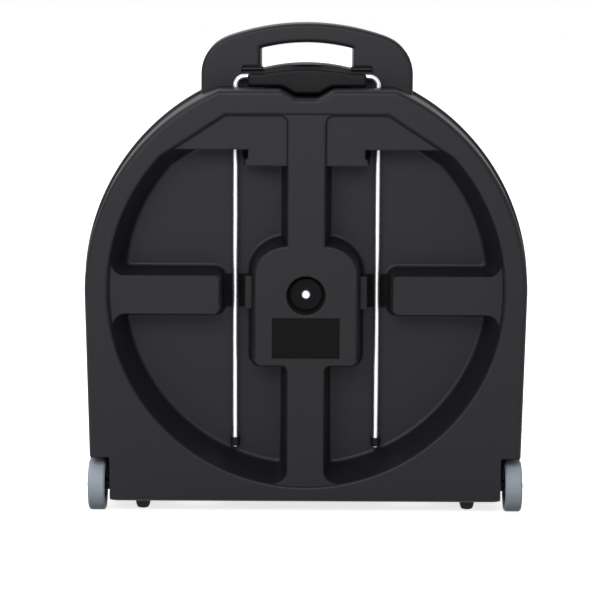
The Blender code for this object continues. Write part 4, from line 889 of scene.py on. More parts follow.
def wire(name, points, radius):
    """A round bar or wire along a run of points, as a mesh."""
    curve = bpy.data.curves.new(name, "CURVE")
    curve.dimensions = "3D"
    curve.bevel_depth = radius
    curve.bevel_resolution = 6
    curve.use_fill_caps = True
    spline = curve.splines.new("POLY")
    spline.points.add(len(points) - 1)
    for point, place in zip(spline.points, points):
        point.co = (*place, 1.0)
    obj = bpy.data.objects.new(name, curve)
    bpy.context.scene.collection.objects.link(obj)
    make_active(obj)
    bpy.ops.object.convert(target="MESH")
    return smoothed(merged(bpy.context.object), 40)


def bend(corner, arrive, leave, radius):
    """A quarter circle that rounds off a run of points at a corner."""
    corner, arrive, leave = Vector(corner), Vector(arrive).normalized(), Vector(leave).normalized()
    centre = corner - arrive * radius + leave * radius
    steps = 14
    turns = [k * pi / 2 / steps for k in range(steps + 1)]
    return [centre - leave * radius * cos(turn) + arrive * radius * sin(turn) for turn in turns]


# Materials


def add_node(tree, kind, **values):
    """Add a shader node and fill in its inputs, whose names have underscores for spaces here."""
    node = tree.nodes.new("ShaderNode" + kind)
    for name, value in values.items():
        node.inputs[name.replace("_", " ")].default_value = value
    return node


def connect(tree, *runs):
    """Link each (node, its output, other node, its input)."""
    for source, output, target, entry in runs:
        tree.links.new(source.outputs[output], target.inputs[entry])


def shader_group(name, inputs, outputs):
    """A shader group with its input and output nodes, given each socket's name and kind."""
    tree = bpy.data.node_groups.new(name, "ShaderNodeTree")
    for way, sockets in (("INPUT", inputs), ("OUTPUT", outputs)):
        for socket, kind in sockets.items():
            tree.interface.new_socket(socket, in_out=way, socket_type="NodeSocket" + kind)
    return tree, tree.nodes.new("NodeGroupInput"), tree.nodes.new("NodeGroupOutput")


def surface_grain():
    """The effect that every finish uses: a slow change of tone, a fine grain mask and the grain's normal."""
    if "Surface grain" in bpy.data.node_groups:
        return bpy.data.node_groups["Surface grain"]
    inputs = {"Vector": "Vector", "Fine": "Float", "Coarse": "Float", "Depth": "Float", "Stretch": "Vector"}
    outputs = {"Tone": "Float", "Grain": "Float", "Normal": "Vector"}
    tree, start, end = shader_group("Surface grain", inputs, outputs)
    mapping, slow = add_node(tree, "Mapping"), add_node(tree, "TexNoise", Detail=3)
    grain = add_node(tree, "TexNoise", Detail=4, Roughness=0.6)
    bump = add_node(tree, "Bump", Strength=0.6)
    connect(
        tree,
        (start, "Vector", slow, "Vector"),
        (start, "Coarse", slow, "Scale"),
        (start, "Vector", mapping, "Vector"),
        (start, "Stretch", mapping, "Scale"),
        (mapping, "Vector", grain, "Vector"),
        (start, "Fine", grain, "Scale"),
        (start, "Depth", bump, "Distance"),
        (grain, "Fac", bump, "Height"),
        (slow, "Fac", end, "Tone"),
        (grain, "Fac", end, "Grain"),
        (bump, "Normal", end, "Normal"),
    )
    return tree


def dull_and_shade_mask():
    """A shader group whose mask covers the panel, the channels' and notches' floors, where it paints shade,
    and the bolt recess.
    """
    tree, start, end = shader_group("Dull floors", {"Vector": "Vector"}, {"Mask": "Float"})
    split = add_node(tree, "SeparateXYZ")
    connect(tree, (start, "Vector", split, "Vector"))

    def joined(operation, first, *rest):
        step = add_node(tree, "Math")
        step.operation = operation
        tree.links.new(first, step.inputs[0])
        for place, value in enumerate(rest, 1):
            if isinstance(value, float):
                step.inputs[place].default_value = value
            else:
                tree.links.new(value, step.inputs[place])
        return step.outputs["Value"]

    across = joined("ABSOLUTE", split.outputs["X"])
    mask = None
    for low, high in DULL_AND_SHADED_FLOORS:
        here = None
        for place, a, b in zip((across, split.outputs["Y"], split.outputs["Z"]), low, high):
            near = joined("COMPARE", place, (a + b) / 2, (b - a) / 2)
            here = joined("MULTIPLY", here, near) if here else near
        mask = joined("MAXIMUM", mask, here) if mask else here
    tree.links.new(mask, end.inputs["Mask"])
    return tree


# Each grain's scale, the scale of the slow tone, the grain's depth in metres and its stretch
GRAIN_SOCKETS = ("Fine", "Coarse", "Depth", "Stretch")
MOULDED = (900, 4, 0.00012, (1, 1, 1))
SATIN = (1400, 12, 0.00008, (1, 1, 1))
RUBBERY = (700, 20, 0.00015, (1, 1, 1))
POLISHED = (260, 9, 0.00001, (1, 1, 0.05))
BRUSHED = (500, 15, 0.00003, (0.1, 1, 1))
CLOTH = (520, 30, 0.0004, (1, 1, 1))
WOOL = (380, 40, 0.0006, (1, 1, 1))


def finish(name, colour, grain, rough, spread, metallic=0, specular=0.5, sheen=0):
    """A procedural material: tone shifts its colour, grain its roughness, and bump its surface."""
    if name in bpy.data.materials:
        return bpy.data.materials[name]
    stuff = bpy.data.materials.new(name)
    stuff.use_nodes = True
    tree = stuff.node_tree
    shader = tree.nodes["Principled BSDF"]
    place, surface = add_node(tree, "TexCoord"), add_node(tree, "Group")
    surface.node_tree = surface_grain()
    for socket, value in zip(GRAIN_SOCKETS, grain):
        surface.inputs[socket].default_value = value
    ramp = add_node(tree, "ValToRGB")
    low, high = ramp.color_ramp.elements
    low.position, high.position = 0.3, 0.7
    low.color = (*[c * (1 - spread) for c in colour], 1)
    high.color = (*[min(1, c * (1 + spread)) for c in colour], 1)
    spans = add_node(tree, "MapRange", From_Min=0.35, From_Max=0.65, To_Min=rough[0], To_Max=rough[1])
    connect(
        tree,
        (place, "Object", surface, "Vector"),
        (surface, "Tone", ramp, "Fac"),
        (surface, "Grain", spans, "Value"),
        (ramp, "Color", shader, "Base Color"),
        (spans, "Result", shader, "Roughness"),
        (surface, "Normal", shader, "Normal"),
    )
    shader.inputs["Metallic"].default_value = metallic
    shader.inputs["Specular IOR Level"].default_value = specular
    shader.inputs["Sheen Weight"].default_value = sheen
    return stuff


def shell_plastic():
    """Moulded charcoal plastic, darker and rougher where the mask lies: a duller panel, painted shade on the
    channels' and notches' floors, and a darker bolt recess.
    """
    if "Shell plastic" in bpy.data.materials:
        return bpy.data.materials["Shell plastic"]
    colour = bpy.context.scene.case_colours.shell
    stuff = finish("Shell plastic", colour, MOULDED, (0.42, 0.56), 0.05, specular=0.185)
    tree = stuff.node_tree
    shader = tree.nodes["Principled BSDF"]
    ramp, spans = (shader.inputs[socket].links[0].from_node for socket in ("Base Color", "Roughness"))
    place, floors = add_node(tree, "TexCoord"), add_node(tree, "Group")
    floors.node_tree = dull_and_shade_mask()
    # The mask blends the colour towards near-black: painted shade on the channels' and notches' floors, a
    # darker finish on the panel
    rougher, darker = add_node(tree, "Math"), add_node(tree, "MixRGB", Color2=DULL_AND_SHADE_COLOUR)
    rougher.operation = "MULTIPLY_ADD"
    rougher.inputs[1].default_value = DULL_ROUGHER
    connect(
        tree,
        (place, "Object", floors, "Vector"),
        (floors, "Mask", rougher, 0),
        (spans, "Result", rougher, 2),
        (floors, "Mask", darker, "Fac"),
        (ramp, "Color", darker, "Color1"),
        (rougher, "Value", shader, "Roughness"),
        (darker, "Color", shader, "Base Color"),
    )
    return stuff


def black_plastic():
    """Fine-grained black plastic of the grip, the sleeves and the hubs."""
    colour = bpy.context.scene.case_colours.black
    return finish("Black plastic", colour, SATIN, (0.45, 0.58), 0.08, specular=0.12)


def disc_plastic():
    """The same plastic, duller, of the disc in the bolt recess."""
    colour = bpy.context.scene.case_colours.black
    return finish("Disc plastic", colour, SATIN, (0.5, 0.62), 0.08, specular=0.05)


def tyre_rubber():
    """Blue-grey rubber of the tyres."""
    colour = bpy.context.scene.case_colours.tyre
    return finish("Grey rubber", colour, RUBBERY, (0.55, 0.72), 0.06, specular=0.35)


def foot_rubber():
    """Black rubber of the feet."""
    return finish("Black rubber", (0.018, 0.018, 0.019), RUBBERY, (0.6, 0.75), 0.1, specular=0.3)


def bright_steel():
    """Drawn bright steel of the rods, latches and clamp."""
    return finish("Bright steel", (0.64, 0.65, 0.66), POLISHED, (0.34, 0.42), 0.03, metallic=1)


def dark_steel():
    """Brushed dark steel of the axles and the hinges' leaves."""
    return finish("Dark steel", (0.3, 0.3, 0.31), BRUSHED, (0.3, 0.42), 0.1, metallic=1)


def foam_cloth():
    """Cloth face of the foam liners."""
    colour = bpy.context.scene.case_colours.foam
    return finish("Foam", colour, CLOTH, (0.8, 0.95), 0.15, specular=0.2, sheen=0.3)


def wool_felt():
    """Grey wool felt of the clamp's pads."""
    return finish("Felt", (0.32, 0.31, 0.29), WOOL, (0.85, 1), 0.18, specular=0.15, sheen=0.4)


# The finish that each slot shows
LOOKS = {
    "shell_plastic": shell_plastic,
    "black_plastic": black_plastic,
    "grey_rubber": tyre_rubber,
    "black_rubber": foot_rubber,
    "bright_steel": bright_steel,
    "dark_steel": dark_steel,
    "foam": foam_cloth,
    "felt": wool_felt,
}


# The shells


def case_body(rear):
    """One half of the case with its rounded face and its lip at the parting."""
    way, half, third = (-1 if rear else 1), PARTING_GAP / 2, LIP_EASING / 3
    lip = grown(PARTING_OUTLINE, LIP_OUT)
    eased = grown(lip, -third)
    rim = [
        (way * half, eased),
        (way * (half + third), lip),
        (way * (LIP_THICK - LIP_EASING), lip),
        (way * (LIP_THICK - third), eased),
        (way * LIP_THICK, grown(lip, -LIP_EASING)),
        (way * LIP_THICK, PARTING_OUTLINE),
    ]
    if rear:
        return loft("Rear shell", edge_sections(OUTLINE, REAR_FACE, EDGE_RADIUS, 1) + rim[::-1])
    return loft("Front shell", rim + edge_sections(OUTLINE, LID_DEPTH, LID_EDGE_RADIUS, -1)[::-1])


def case_cavity(rear):
    """The room inside one half, up into its half of the handle."""
    thin = grown(OUTLINE, -WALL)
    thin_arch = grown(arch_outline(ARCH_ROOM_LOW - WALL), -WALL)
    tight_arch = grown(thin_arch, WALL - ARCH_EDGE)
    if rear:
        sections = edge_sections(thin, REAR_FACE + WALL, EDGE_RADIUS - WALL, 1, 2)
        sections.append((SHORT_REACH, grown(thin, FLANK_DRAFT)))
        room = [(-ARCH_REAR + WALL, tight_arch), (-ARCH_REAR + ARCH_EDGE, thin_arch)]
        room.append((SHORT_REACH, thin_arch))
    else:
        sections = [(-SHORT_REACH, grown(thin, FLANK_DRAFT))]
        sections += edge_sections(thin, LID_DEPTH - WALL, LID_EDGE_RADIUS - WALL, -1, 3)[::-1]
        room = [(-SHORT_REACH, thin_arch), (ARCH_FRONT - ARCH_EDGE, thin_arch)]
        room.append((ARCH_FRONT - WALL, tight_arch))
    cavity = loft("Cavity", sections)
    return combine(cavity, loft("Arch room", room), "UNION")


def add_arch(shell, rear):
    """The handle's half, rounded at its outer face and eased at the parting."""
    arch, half = arch_outline(), PARTING_GAP / 2
    easing = [(half, grown(arch, -ARCH_EASING)), (half + ARCH_EASING, arch)]
    if rear:
        sections = edge_sections(arch, -ARCH_REAR, ARCH_EDGE, 1)
        sections += [(-y, points) for y, points in easing[::-1]]
    else:
        sections = easing + edge_sections(arch, ARCH_FRONT, ARCH_EDGE, -1)[::-1]
    return combine(shell, loft("Arch", sections), "UNION")


def gap_cutter(name, face, grow, lip):
    """The finger gap in one half of the handle, flared to its outer face."""
    way, reach = (1 if face > 0 else -1), abs(face)
    corners = gap_outline(GAP_LOW_SHARE * lip, lip)
    steps = arc_steps(corners)
    points = [Vector(corner[:2]) for corner in corners]
    radii = [max(corner[2] + grow, LEAST_CORNER) for corner in corners]
    depths = [-GAP_REACH, 0.0]
    if lip:
        depths += [reach - lip * (1 - sin(k * pi / 12)) - HAIR for k in range(6)]
    depths += [reach, reach + GAP_REACH]
    sections = []
    for depth in depths:
        flare = grow + GAP_DRAFT * max(0.0, depth) / reach
        amounts = [flare + rounding(reach - depth, corner[3]) for corner in corners]
        sections.append((way * depth, filleted(grown(points, amounts), radii, steps)))
    return loft(name, sections[::way])


def cut_recess(target, grow, shape):
    """The ribbed recess: at grow = 0 its wall's outer side with soft edges, at WALL the inner side."""
    soft = 0 if grow else 1
    rib_lip, block_lip = soft * shape.rib_lip, soft * shape.block_lip
    rim = recess_outline(soft * shape.rim_lip)
    combine(target, pressed("Rim step", rim, RIB_FACE, grow, soft * RIM_FILLET))
    shelf = shelf_outline(rib_lip)
    both_sides(target, pressed("Shelf", shelf, BLOCK_FACE, grow - SHELF_STEP, soft * SHELF_FILLET))
    pocket = pocket_outline(rib_lip, block_lip)
    both_sides(target, pressed("Pocket", pocket, POCKET_FLOOR, grow, soft * shape.floor_fillet))
    edge = (0.0, RIB_FACE, soft * HOLE_LIP)
    hole = [(p.x, p.y, 0, edge) for p in round_outline(HOLE_RADIUS, BOLT_HEIGHT)]
    combine(target, pressed("Bolt recess", hole, HOLE_FLOOR, grow, soft * HOLE_FILLET))


def scoop_cutter(grow):
    """The finger scoop in the flat top, with a soft shoulder and a rolled lower lip at the back face."""
    floor, top = TOP_HEIGHT - SCOOP_DEEP, TOP_HEIGHT + SCOOP_PROUD
    shoulder = 0 if grow else SCOOP_SHOULDER
    far = SCOOP_HALF + (HAIR if grow else REACH)
    corners = [
        (-SCOOP_FLOOR_HALF, floor, SCOOP_CORNER),
        (SCOOP_FLOOR_HALF, floor, SCOOP_CORNER),
        (SCOOP_HALF, top, shoulder),
        (far, top, 0),
        (far, TOP_HEIGHT + REACH, 0),
        (-far, TOP_HEIGHT + REACH, 0),
        (-far, top, 0),
        (-SCOOP_HALF, top, shoulder),
    ]
    outline = grown(plain(corners), grow)
    end = -ROD_BACK + GRIP_THICK / 2 + SCOOP_PAST_GRIP + grow
    if grow:
        return loft("Scoop", [(REAR_FACE - REACH, outline), (end, outline)])
    levels = [(REAR_FACE - REACH, -SCOOP_LIP)]
    for k in range(7):
        depth = REAR_FACE + SCOOP_LIP * (1 - cos(k * pi / 12))
        levels.append((depth, -SCOOP_LIP * (1 - sin(k * pi / 12))))
    for k in range(1, 6):
        depth = end - SCOOP_FILLET * (1 - sin(k * pi / 12))
        levels.append((depth, SCOOP_FILLET * (1 - cos(k * pi / 12))))
    return loft("Scoop", [(y, [p + Vector((0, rise)) for p in outline]) for y, rise in levels])


def nest_cutter(grow):
    """The nest for the grip in the handle's back."""
    low, high = TOP_HEIGHT + NEST_OVER_TOP - grow, NEST_TOP + grow
    half = NEST_HALF + grow
    outline = plain([(-half, low, 0), (half, low, 0), (half, high, NEST_CORNER), (-half, high, NEST_CORNER)])
    floor = -ARCH_REAR + NEST_DEEP + grow
    return loft("Nest", [(-ARCH_REAR - SHORT_REACH, outline), (floor, outline)])


def flank_box(side, inner, back, front, low, high, bevel=0):
    """A cutter for a pocket in a flank, given by its inner side."""
    near, far = sorted((side * inner, side * (ARC_RADIUS + 2 * REACH)))
    return soft_box("Flank pocket", (near, back, low), (far, front, high), bevel)


def cut_flanks(shell, cavity, rear):
    """The latch pockets and, in the rear half, the wheel wells."""
    low, high = LATCH_HEIGHT - LATCH_POCKET_HALF, LATCH_HEIGHT + LATCH_POCKET_HALF
    floor, behind = ARC_RADIUS - LATCH_POCKET_DEEP, REAR_FACE - REACH
    if rear:
        back, front = -LATCH_POCKET_REAR, SHORT_REACH
        back_in, front_in = back - WALL, REACH
    else:
        back, front = -SHORT_REACH, LATCH_POCKET_FRONT
        back_in, front_in = -REACH, front + WALL
    for side, _ in SIDES:
        combine(shell, flank_box(side, floor, back, front, low, high, LATCH_POCKET_EDGE))
        combine(cavity, flank_box(side, floor - WALL, back_in, front_in, low - WALL, high + WALL))
        if rear:
            well = flank_box(side, WELL_INNER, behind, WELL_BACK, -REACH, WELL_ROOF, WELL_EDGE)
            combine(shell, well)
            room = flank_box(side, WELL_INNER - WALL, behind, WELL_BACK + WALL, -REACH, WELL_ROOF + WALL)
            combine(cavity, room)


def add_stubs(shell):
    """The side ribs' short ends beside the boss, and the bars in the grip's nest."""
    nest = -ARCH_REAR + NEST_DEEP
    for side, _ in SIDES:
        near, far = sorted((side * (BOSS_HALF + STUB_SET_OUT), side * STUB_END))
        low, high = (near, POCKET_FLOOR - STUB_HIGH, STUB_LOW), (far, POCKET_FLOOR + MM, STUB_TOP)
        combine(shell, soft_box("Stub", low, high, STUB_EDGE), "UNION")
        start = (side * (GAP_HALF - BAR_INSET), NEST_BAR_BACK, NEST_BAR)
        end = (side * (NEST_HALF - MM), NEST_BAR_BACK, NEST_BAR)
        combine(shell, drill("Nest bar", NEST_BAR_RADIUS, start, end), "UNION")
    low, high = (-GAP_HALF, nest - MM, GRIP_HIGH + GROOVE_OVER_GRIP), (GAP_HALF, nest + GROOVE_DEEP, NEST_TOP)
    combine(shell, soft_box("Nest groove", low, high))


class CASE_OT_rear_shell(bpy.types.Operator):
    """Mould the ribbed back half of the case"""

    bl_idname = "case.rear_shell"
    bl_label = "Rear shell"

    def execute(self, context):
        shape = context.scene.case_shape
        shell, cavity = case_body(True), case_cavity(True)
        add_arch(shell, True)
        cut_recess(shell, 0.0, shape)
        cut_recess(cavity, WALL, shape)
        combine(shell, gap_cutter("Gap", -ARCH_REAR, 0.0, shape.gap_lip))
        combine(cavity, gap_cutter("Gap room", -ARCH_REAR, WALL, 0.0))
        for grow, target in ((0.0, shell), (WALL, cavity)):
            combine(target, nest_cutter(grow))
            combine(target, scoop_cutter(grow))
        cut_flanks(shell, cavity, True)
        add_stubs(shell)
        combine(shell, cavity)
        low, high = (-PANEL_HALF, REAR_FACE - SHORT_REACH, PANEL_LOW), (PANEL_HALF, PANEL_FLOOR, PANEL_HIGH)
        combine(shell, soft_box("Panel", low, high, PANEL_BEVEL))
        start, end = (0, REAR_FACE, BOLT_HEIGHT), (0, POCKET_FLOOR, BOLT_HEIGHT)
        combine(shell, drill("Bolt hole", BOLT_BORE, start, end))
        for side, _ in SIDES:
            x = side * ROD_APART
            start, end = (x, -ROD_BACK, BLOCK_LOW), (x, -ROD_BACK, TOP_HEIGHT + REACH)
            combine(shell, drill("Guide hole", GUIDE_HOLE, start, end))
            start = (side * (WELL_INNER - REACH), -WHEEL_BACK, WHEEL_RADIUS)
            end = (side * (WELL_INNER + SHORT_REACH), -WHEEL_BACK, WHEEL_RADIUS)
            combine(shell, drill("Axle hole", AXLE_BORE, start, end))
        finish_piece(smoothed(merged(shell)), "rear", "shell_plastic", "rear_shell")
        return {"FINISHED"}


class CASE_OT_front_shell(bpy.types.Operator):
    """Mould the plain lid half of the case"""

    bl_idname = "case.front_shell"
    bl_label = "Front shell"

    def execute(self, context):
        shape = context.scene.case_shape
        shell, cavity = case_body(False), case_cavity(False)
        add_arch(shell, False)
        combine(shell, gap_cutter("Gap", ARCH_FRONT, 0.0, shape.gap_lip))
        combine(cavity, gap_cutter("Gap room", ARCH_FRONT, WALL, 0.0))
        ring = round_outline(LID_PANEL_RADIUS, ARC_HEIGHT, 180)
        depth, past, edge = LID_DEPTH - LID_PANEL_DEEP, LID_DEPTH + SHORT_REACH, LID_PANEL_EDGE
        levels = [(depth, -edge), (depth + 0.4 * MM, -0.6 * MM), (depth + edge, 0.0)]
        levels += [(LID_DEPTH - MM, 0.3 * MM), (LID_DEPTH, edge), (past, edge)]
        combine(shell, loft("Lid panel", [(y, grown(ring, amount)) for y, amount in levels]))
        wide = grown(ring, WALL)
        combine(cavity, loft("Lid panel room", [(depth - WALL, wide), (past, wide)]))
        cut_flanks(shell, cavity, False)
        combine(shell, cavity)
        finish_piece(smoothed(merged(shell)), "lid", "shell_plastic", "front_shell")
        return {"FINISHED"}


# The pull handle


def grip_outline():
    """The grip from behind: bowed on top, with a bulge that fills the scoop."""
    lean = asin(GRIP_ARC_HALF / GRIP_CURVE)
    shoulder, bulge = SCOOP_HALF - GRIP_INSET, SCOOP_FLOOR_HALF + GRIP_BULGE_OUT
    corners = [
        (-GRIP_HALF, GRIP_LOW, GRIP_CORNER),
        (-shoulder, GRIP_LOW, SCOOP_SHOULDER),
        (-bulge, GRIP_LOW - GRIP_BULGE, GRIP_BULGE_CORNER),
        (bulge, GRIP_LOW - GRIP_BULGE, GRIP_BULGE_CORNER),
        (shoulder, GRIP_LOW, SCOOP_SHOULDER),
        (GRIP_HALF, GRIP_LOW, GRIP_CORNER),
        (GRIP_HALF, GRIP_SHOULDER, GRIP_CORNER),
    ]
    for k in range(25):
        turn = lean - 2 * lean * k / 24
        corners.append((GRIP_CURVE * sin(turn), GRIP_HIGH - GRIP_CURVE * (1 - cos(turn)), 0))
    corners.append((-GRIP_HALF, GRIP_SHOULDER, GRIP_CORNER))
    return plain(corners)


class CASE_OT_pull_handle(bpy.types.Operator):
    """Shape the telescopic handle's grip, rods and stops"""

    bl_idname = "case.pull_handle"
    bl_label = "Pull handle"

    def execute(self, context):
        outline = grip_outline()
        back, front = -ROD_BACK - GRIP_THICK / 2, -ROD_BACK + GRIP_THICK / 2
        sections = edge_sections(outline, back, GRIP_EDGE, 1)
        sections += edge_sections(outline, front, GRIP_EDGE, -1)[::-1]
        grip = loft("Grip", sections)
        height = GRIP_HIGH - GRIP_THICK / 2 - ROD_UNDER_MIDDLE
        for side, word in SIDES:
            x = side * ROD_APART
            mouth = (side * (GRIP_HALF + SHORT_REACH), -ROD_BACK, height)
            floor = (side * (GRIP_HALF - SOCKET_DEEP), -ROD_BACK, height)
            combine(grip, drill("Socket", SOCKET_RADIUS, floor, mouth))
            path = [(x, -ROD_BACK, ROD_LOW)]
            path += bend((x, -ROD_BACK, height), (0, 0, 1), (-side, 0, 0), ROD_BEND)
            path.append((side * (GRIP_HALF - ROD_IN_GRIP), -ROD_BACK, height))
            rod = wire(f"Rod {word}", path, ROD_RADIUS)
            finish_piece(rod, "trolley", "bright_steel", f"trolley_rod_{word}")
            rings, place = tube(STOP_BORE, STOP_RADIUS, STOP_LONG, 0), (x, -ROD_BACK, ROD_LOW + STOP_OVER_END)
            stop = turned(f"Rod stop {word}", rings, "Z", place, 48, 0.8 * MM, True)
            finish_piece(stop, "trolley", "black_plastic", f"rod_stop_{word}")
        finish_piece(smoothed(merged(grip)), "trolley", "black_plastic", "trolley_grip")
        return {"FINISHED"}


class CASE_OT_rod_guides(bpy.types.Operator):
    """Turn the sleeves that the rods run in"""

    bl_idname = "case.rod_guides"
    bl_label = "Rod guides"

    def execute(self, context):
        top, flange = TOP_HEIGHT - MM, BLOCK_HIGH - SEAT_GAP
        low = flange - GUIDE_FLANGE_THICK
        rings = [(ROD_BORE, top), (GUIDE_RADIUS, top), (GUIDE_RADIUS, flange)]
        rings += [(GUIDE_FLANGE_RADIUS, flange), (GUIDE_FLANGE_RADIUS, low), (ROD_BORE, low)]
        for side, word in SIDES:
            place = (side * ROD_APART, -ROD_BACK, 0)
            guide = turned(f"Rod guide {word}", rings, "Z", place, 48, 0.4 * MM, True)
            finish_piece(guide, "rear", "black_plastic", f"rod_guide_{word}")
        return {"FINISHED"}


# Wheels and feet


class CASE_OT_wheels(bpy.types.Operator):
    """Turn the wheels, with the bolts and spacers that carry them"""

    bl_idname = "case.wheels"
    bl_label = "Wheels"

    def execute(self, context):
        half, rim = WHEEL_HALF, RIM_RADIUS
        tread = [(rim, half - MM), (rim + TREAD_FOOT, half - TREAD_DROP)]
        tread += [(WHEEL_RADIUS - TREAD_EDGE, half), (WHEEL_RADIUS, half - TREAD_EDGE)]
        face = [(AXLE_BORE, half), (HUB_BOSS, half)]
        face += [(HUB_BOSS + HUB_DRAFT, HUB_WEB_HALF), (rim - HUB_RIM_FOOT, HUB_WEB_HALF)]
        face += [(rim - HUB_RIM, half - HUB_SINK), (rim - SEAT_GAP, half - HUB_SINK)]
        under, wall = half + SEAT_GAP, WELL_INNER - WALL - WHEEL_MIDDLE
        bolt = [
            (AXLE_RADIUS / 2, under + AXLE_HEAD_THICK),
            (AXLE_RADIUS + 0.5 * MM, under + AXLE_HEAD_THICK - AXLE_HEAD_CROWN),
            (AXLE_HEAD_RADIUS, under + AXLE_HEAD_EDGE),
            (AXLE_HEAD_RADIUS, under),
            (AXLE_RADIUS, under),
            (AXLE_RADIUS, wall - AXLE_PAST_WALL - SEAT_GAP),
        ]
        spacer = tube(AXLE_BORE, SPACER_RADIUS, -under, WELL_INNER - WHEEL_MIDDLE + SEAT_GAP)
        for side, word in SIDES:
            axis, place = ("X" if side > 0 else "-X"), (side * WHEEL_MIDDLE, -WHEEL_BACK, WHEEL_RADIUS)
            body = f"wheel_{word}"
            for title, rings, rides, slot, node, segments, soft in (
                ("Tyre", mirrored(tread), body, "grey_rubber", "wheel_tyre", 96, 0.9 * MM),
                ("Hub", mirrored(face), body, "black_plastic", "wheel_hub", 64, 0.6 * MM),
                ("Axle bolt", bolt, "rear", "dark_steel", "axle_bolt", 48, 0.3 * MM),
                ("Spacer", spacer, "rear", "black_plastic", "axle_spacer", 48, 0.4 * MM),
            ):
                piece = turned(f"{title} {word}", rings, axis, place, segments, soft, rings is not bolt)
                finish_piece(piece, rides, slot, f"{node}_{word}")
            piece = refined(f"axle_nut_{word}", f"Axle nut {word}", 0.4 * MM)
            finish_piece(piece, "rear", "dark_steel", f"axle_nut_{word}")
        return {"FINISHED"}


class CASE_OT_feet(bpy.types.Operator):
    """Turn the four rubber feet"""

    bl_idname = "case.feet"
    bl_label = "Feet"

    def execute(self, context):
        for side, word in SIDES:
            for end, body in (("rear", "rear"), ("front", "lid")):
                node = f"foot_{end}_{word}"
                low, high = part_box(node)
                middle, top = (low + high) / 2, high.z
                rings = [(FOOT_RADIUS, top), (FOOT_RADIUS, top - FOOT_COLLAR)]
                rings += [(FOOT_RADIUS - 0.4 * MM, top * 0.6), (FOOT_RADIUS - 1.4 * MM, top * 0.3)]
                rings += [(FOOT_TIP_RADIUS + 2 * MM, 0.9 * MM), (FOOT_TIP_RADIUS, 0.0)]
                foot = turned(f"Foot {end} {word}", rings, "Z", (middle.x, middle.y, 0), 48, 0.5 * MM)
                finish_piece(foot, body, "black_rubber", node)
        return {"FINISHED"}


# Metal fittings and the inside


class CASE_OT_hinges(bpy.types.Operator):
    """Round off the two bottom hinges' leaves and pins"""

    bl_idname = "case.hinges"
    bl_label = "Hinges"

    def execute(self, context):
        for _, word in SIDES:
            for end, body in (("rear", "rear"), ("front", "lid")):
                node = f"hinge_leaf_{end}_{word}"
                leaf = refined(node, f"Hinge leaf {end} {word}", 0.3 * MM)
                finish_piece(leaf, body, "dark_steel", node)
            low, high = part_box(f"hinge_pin_{word}")
            middle = (low.z + high.z) / 2
            pin = drill(f"Hinge pin {word}", HINGE_PIN_RADIUS, (low.x, 0, middle), (high.x, 0, middle), 40)
            finish_piece(smoothed(pin), "rear", "bright_steel", f"hinge_pin_{word}")
        return {"FINISHED"}


class CASE_OT_latches(bpy.types.Operator):
    """Round off both draw latches' plates, levers, bails, pins and keepers"""

    bl_idname = "case.latches"
    bl_label = "Latches"

    def execute(self, context):
        for _, word in SIDES:
            pieces = (
                ("base", "rear", 0.35 * MM),
                ("pin", "rear", 0.3 * MM),
                ("lever", f"latch_{word}", 0.35 * MM),
                ("bail", f"bail_{word}", 0),
                ("keeper", "lid", 0.35 * MM),
            )
            for name, body, edge in pieces:
                node, title = f"latch_{name}_{word}", f"Latch {name} {word}"
                piece = refined(node, title, edge) if edge else smoothed(node_copy(node, title), 60)
                finish_piece(piece, body, "bright_steel", node)
        return {"FINISHED"}


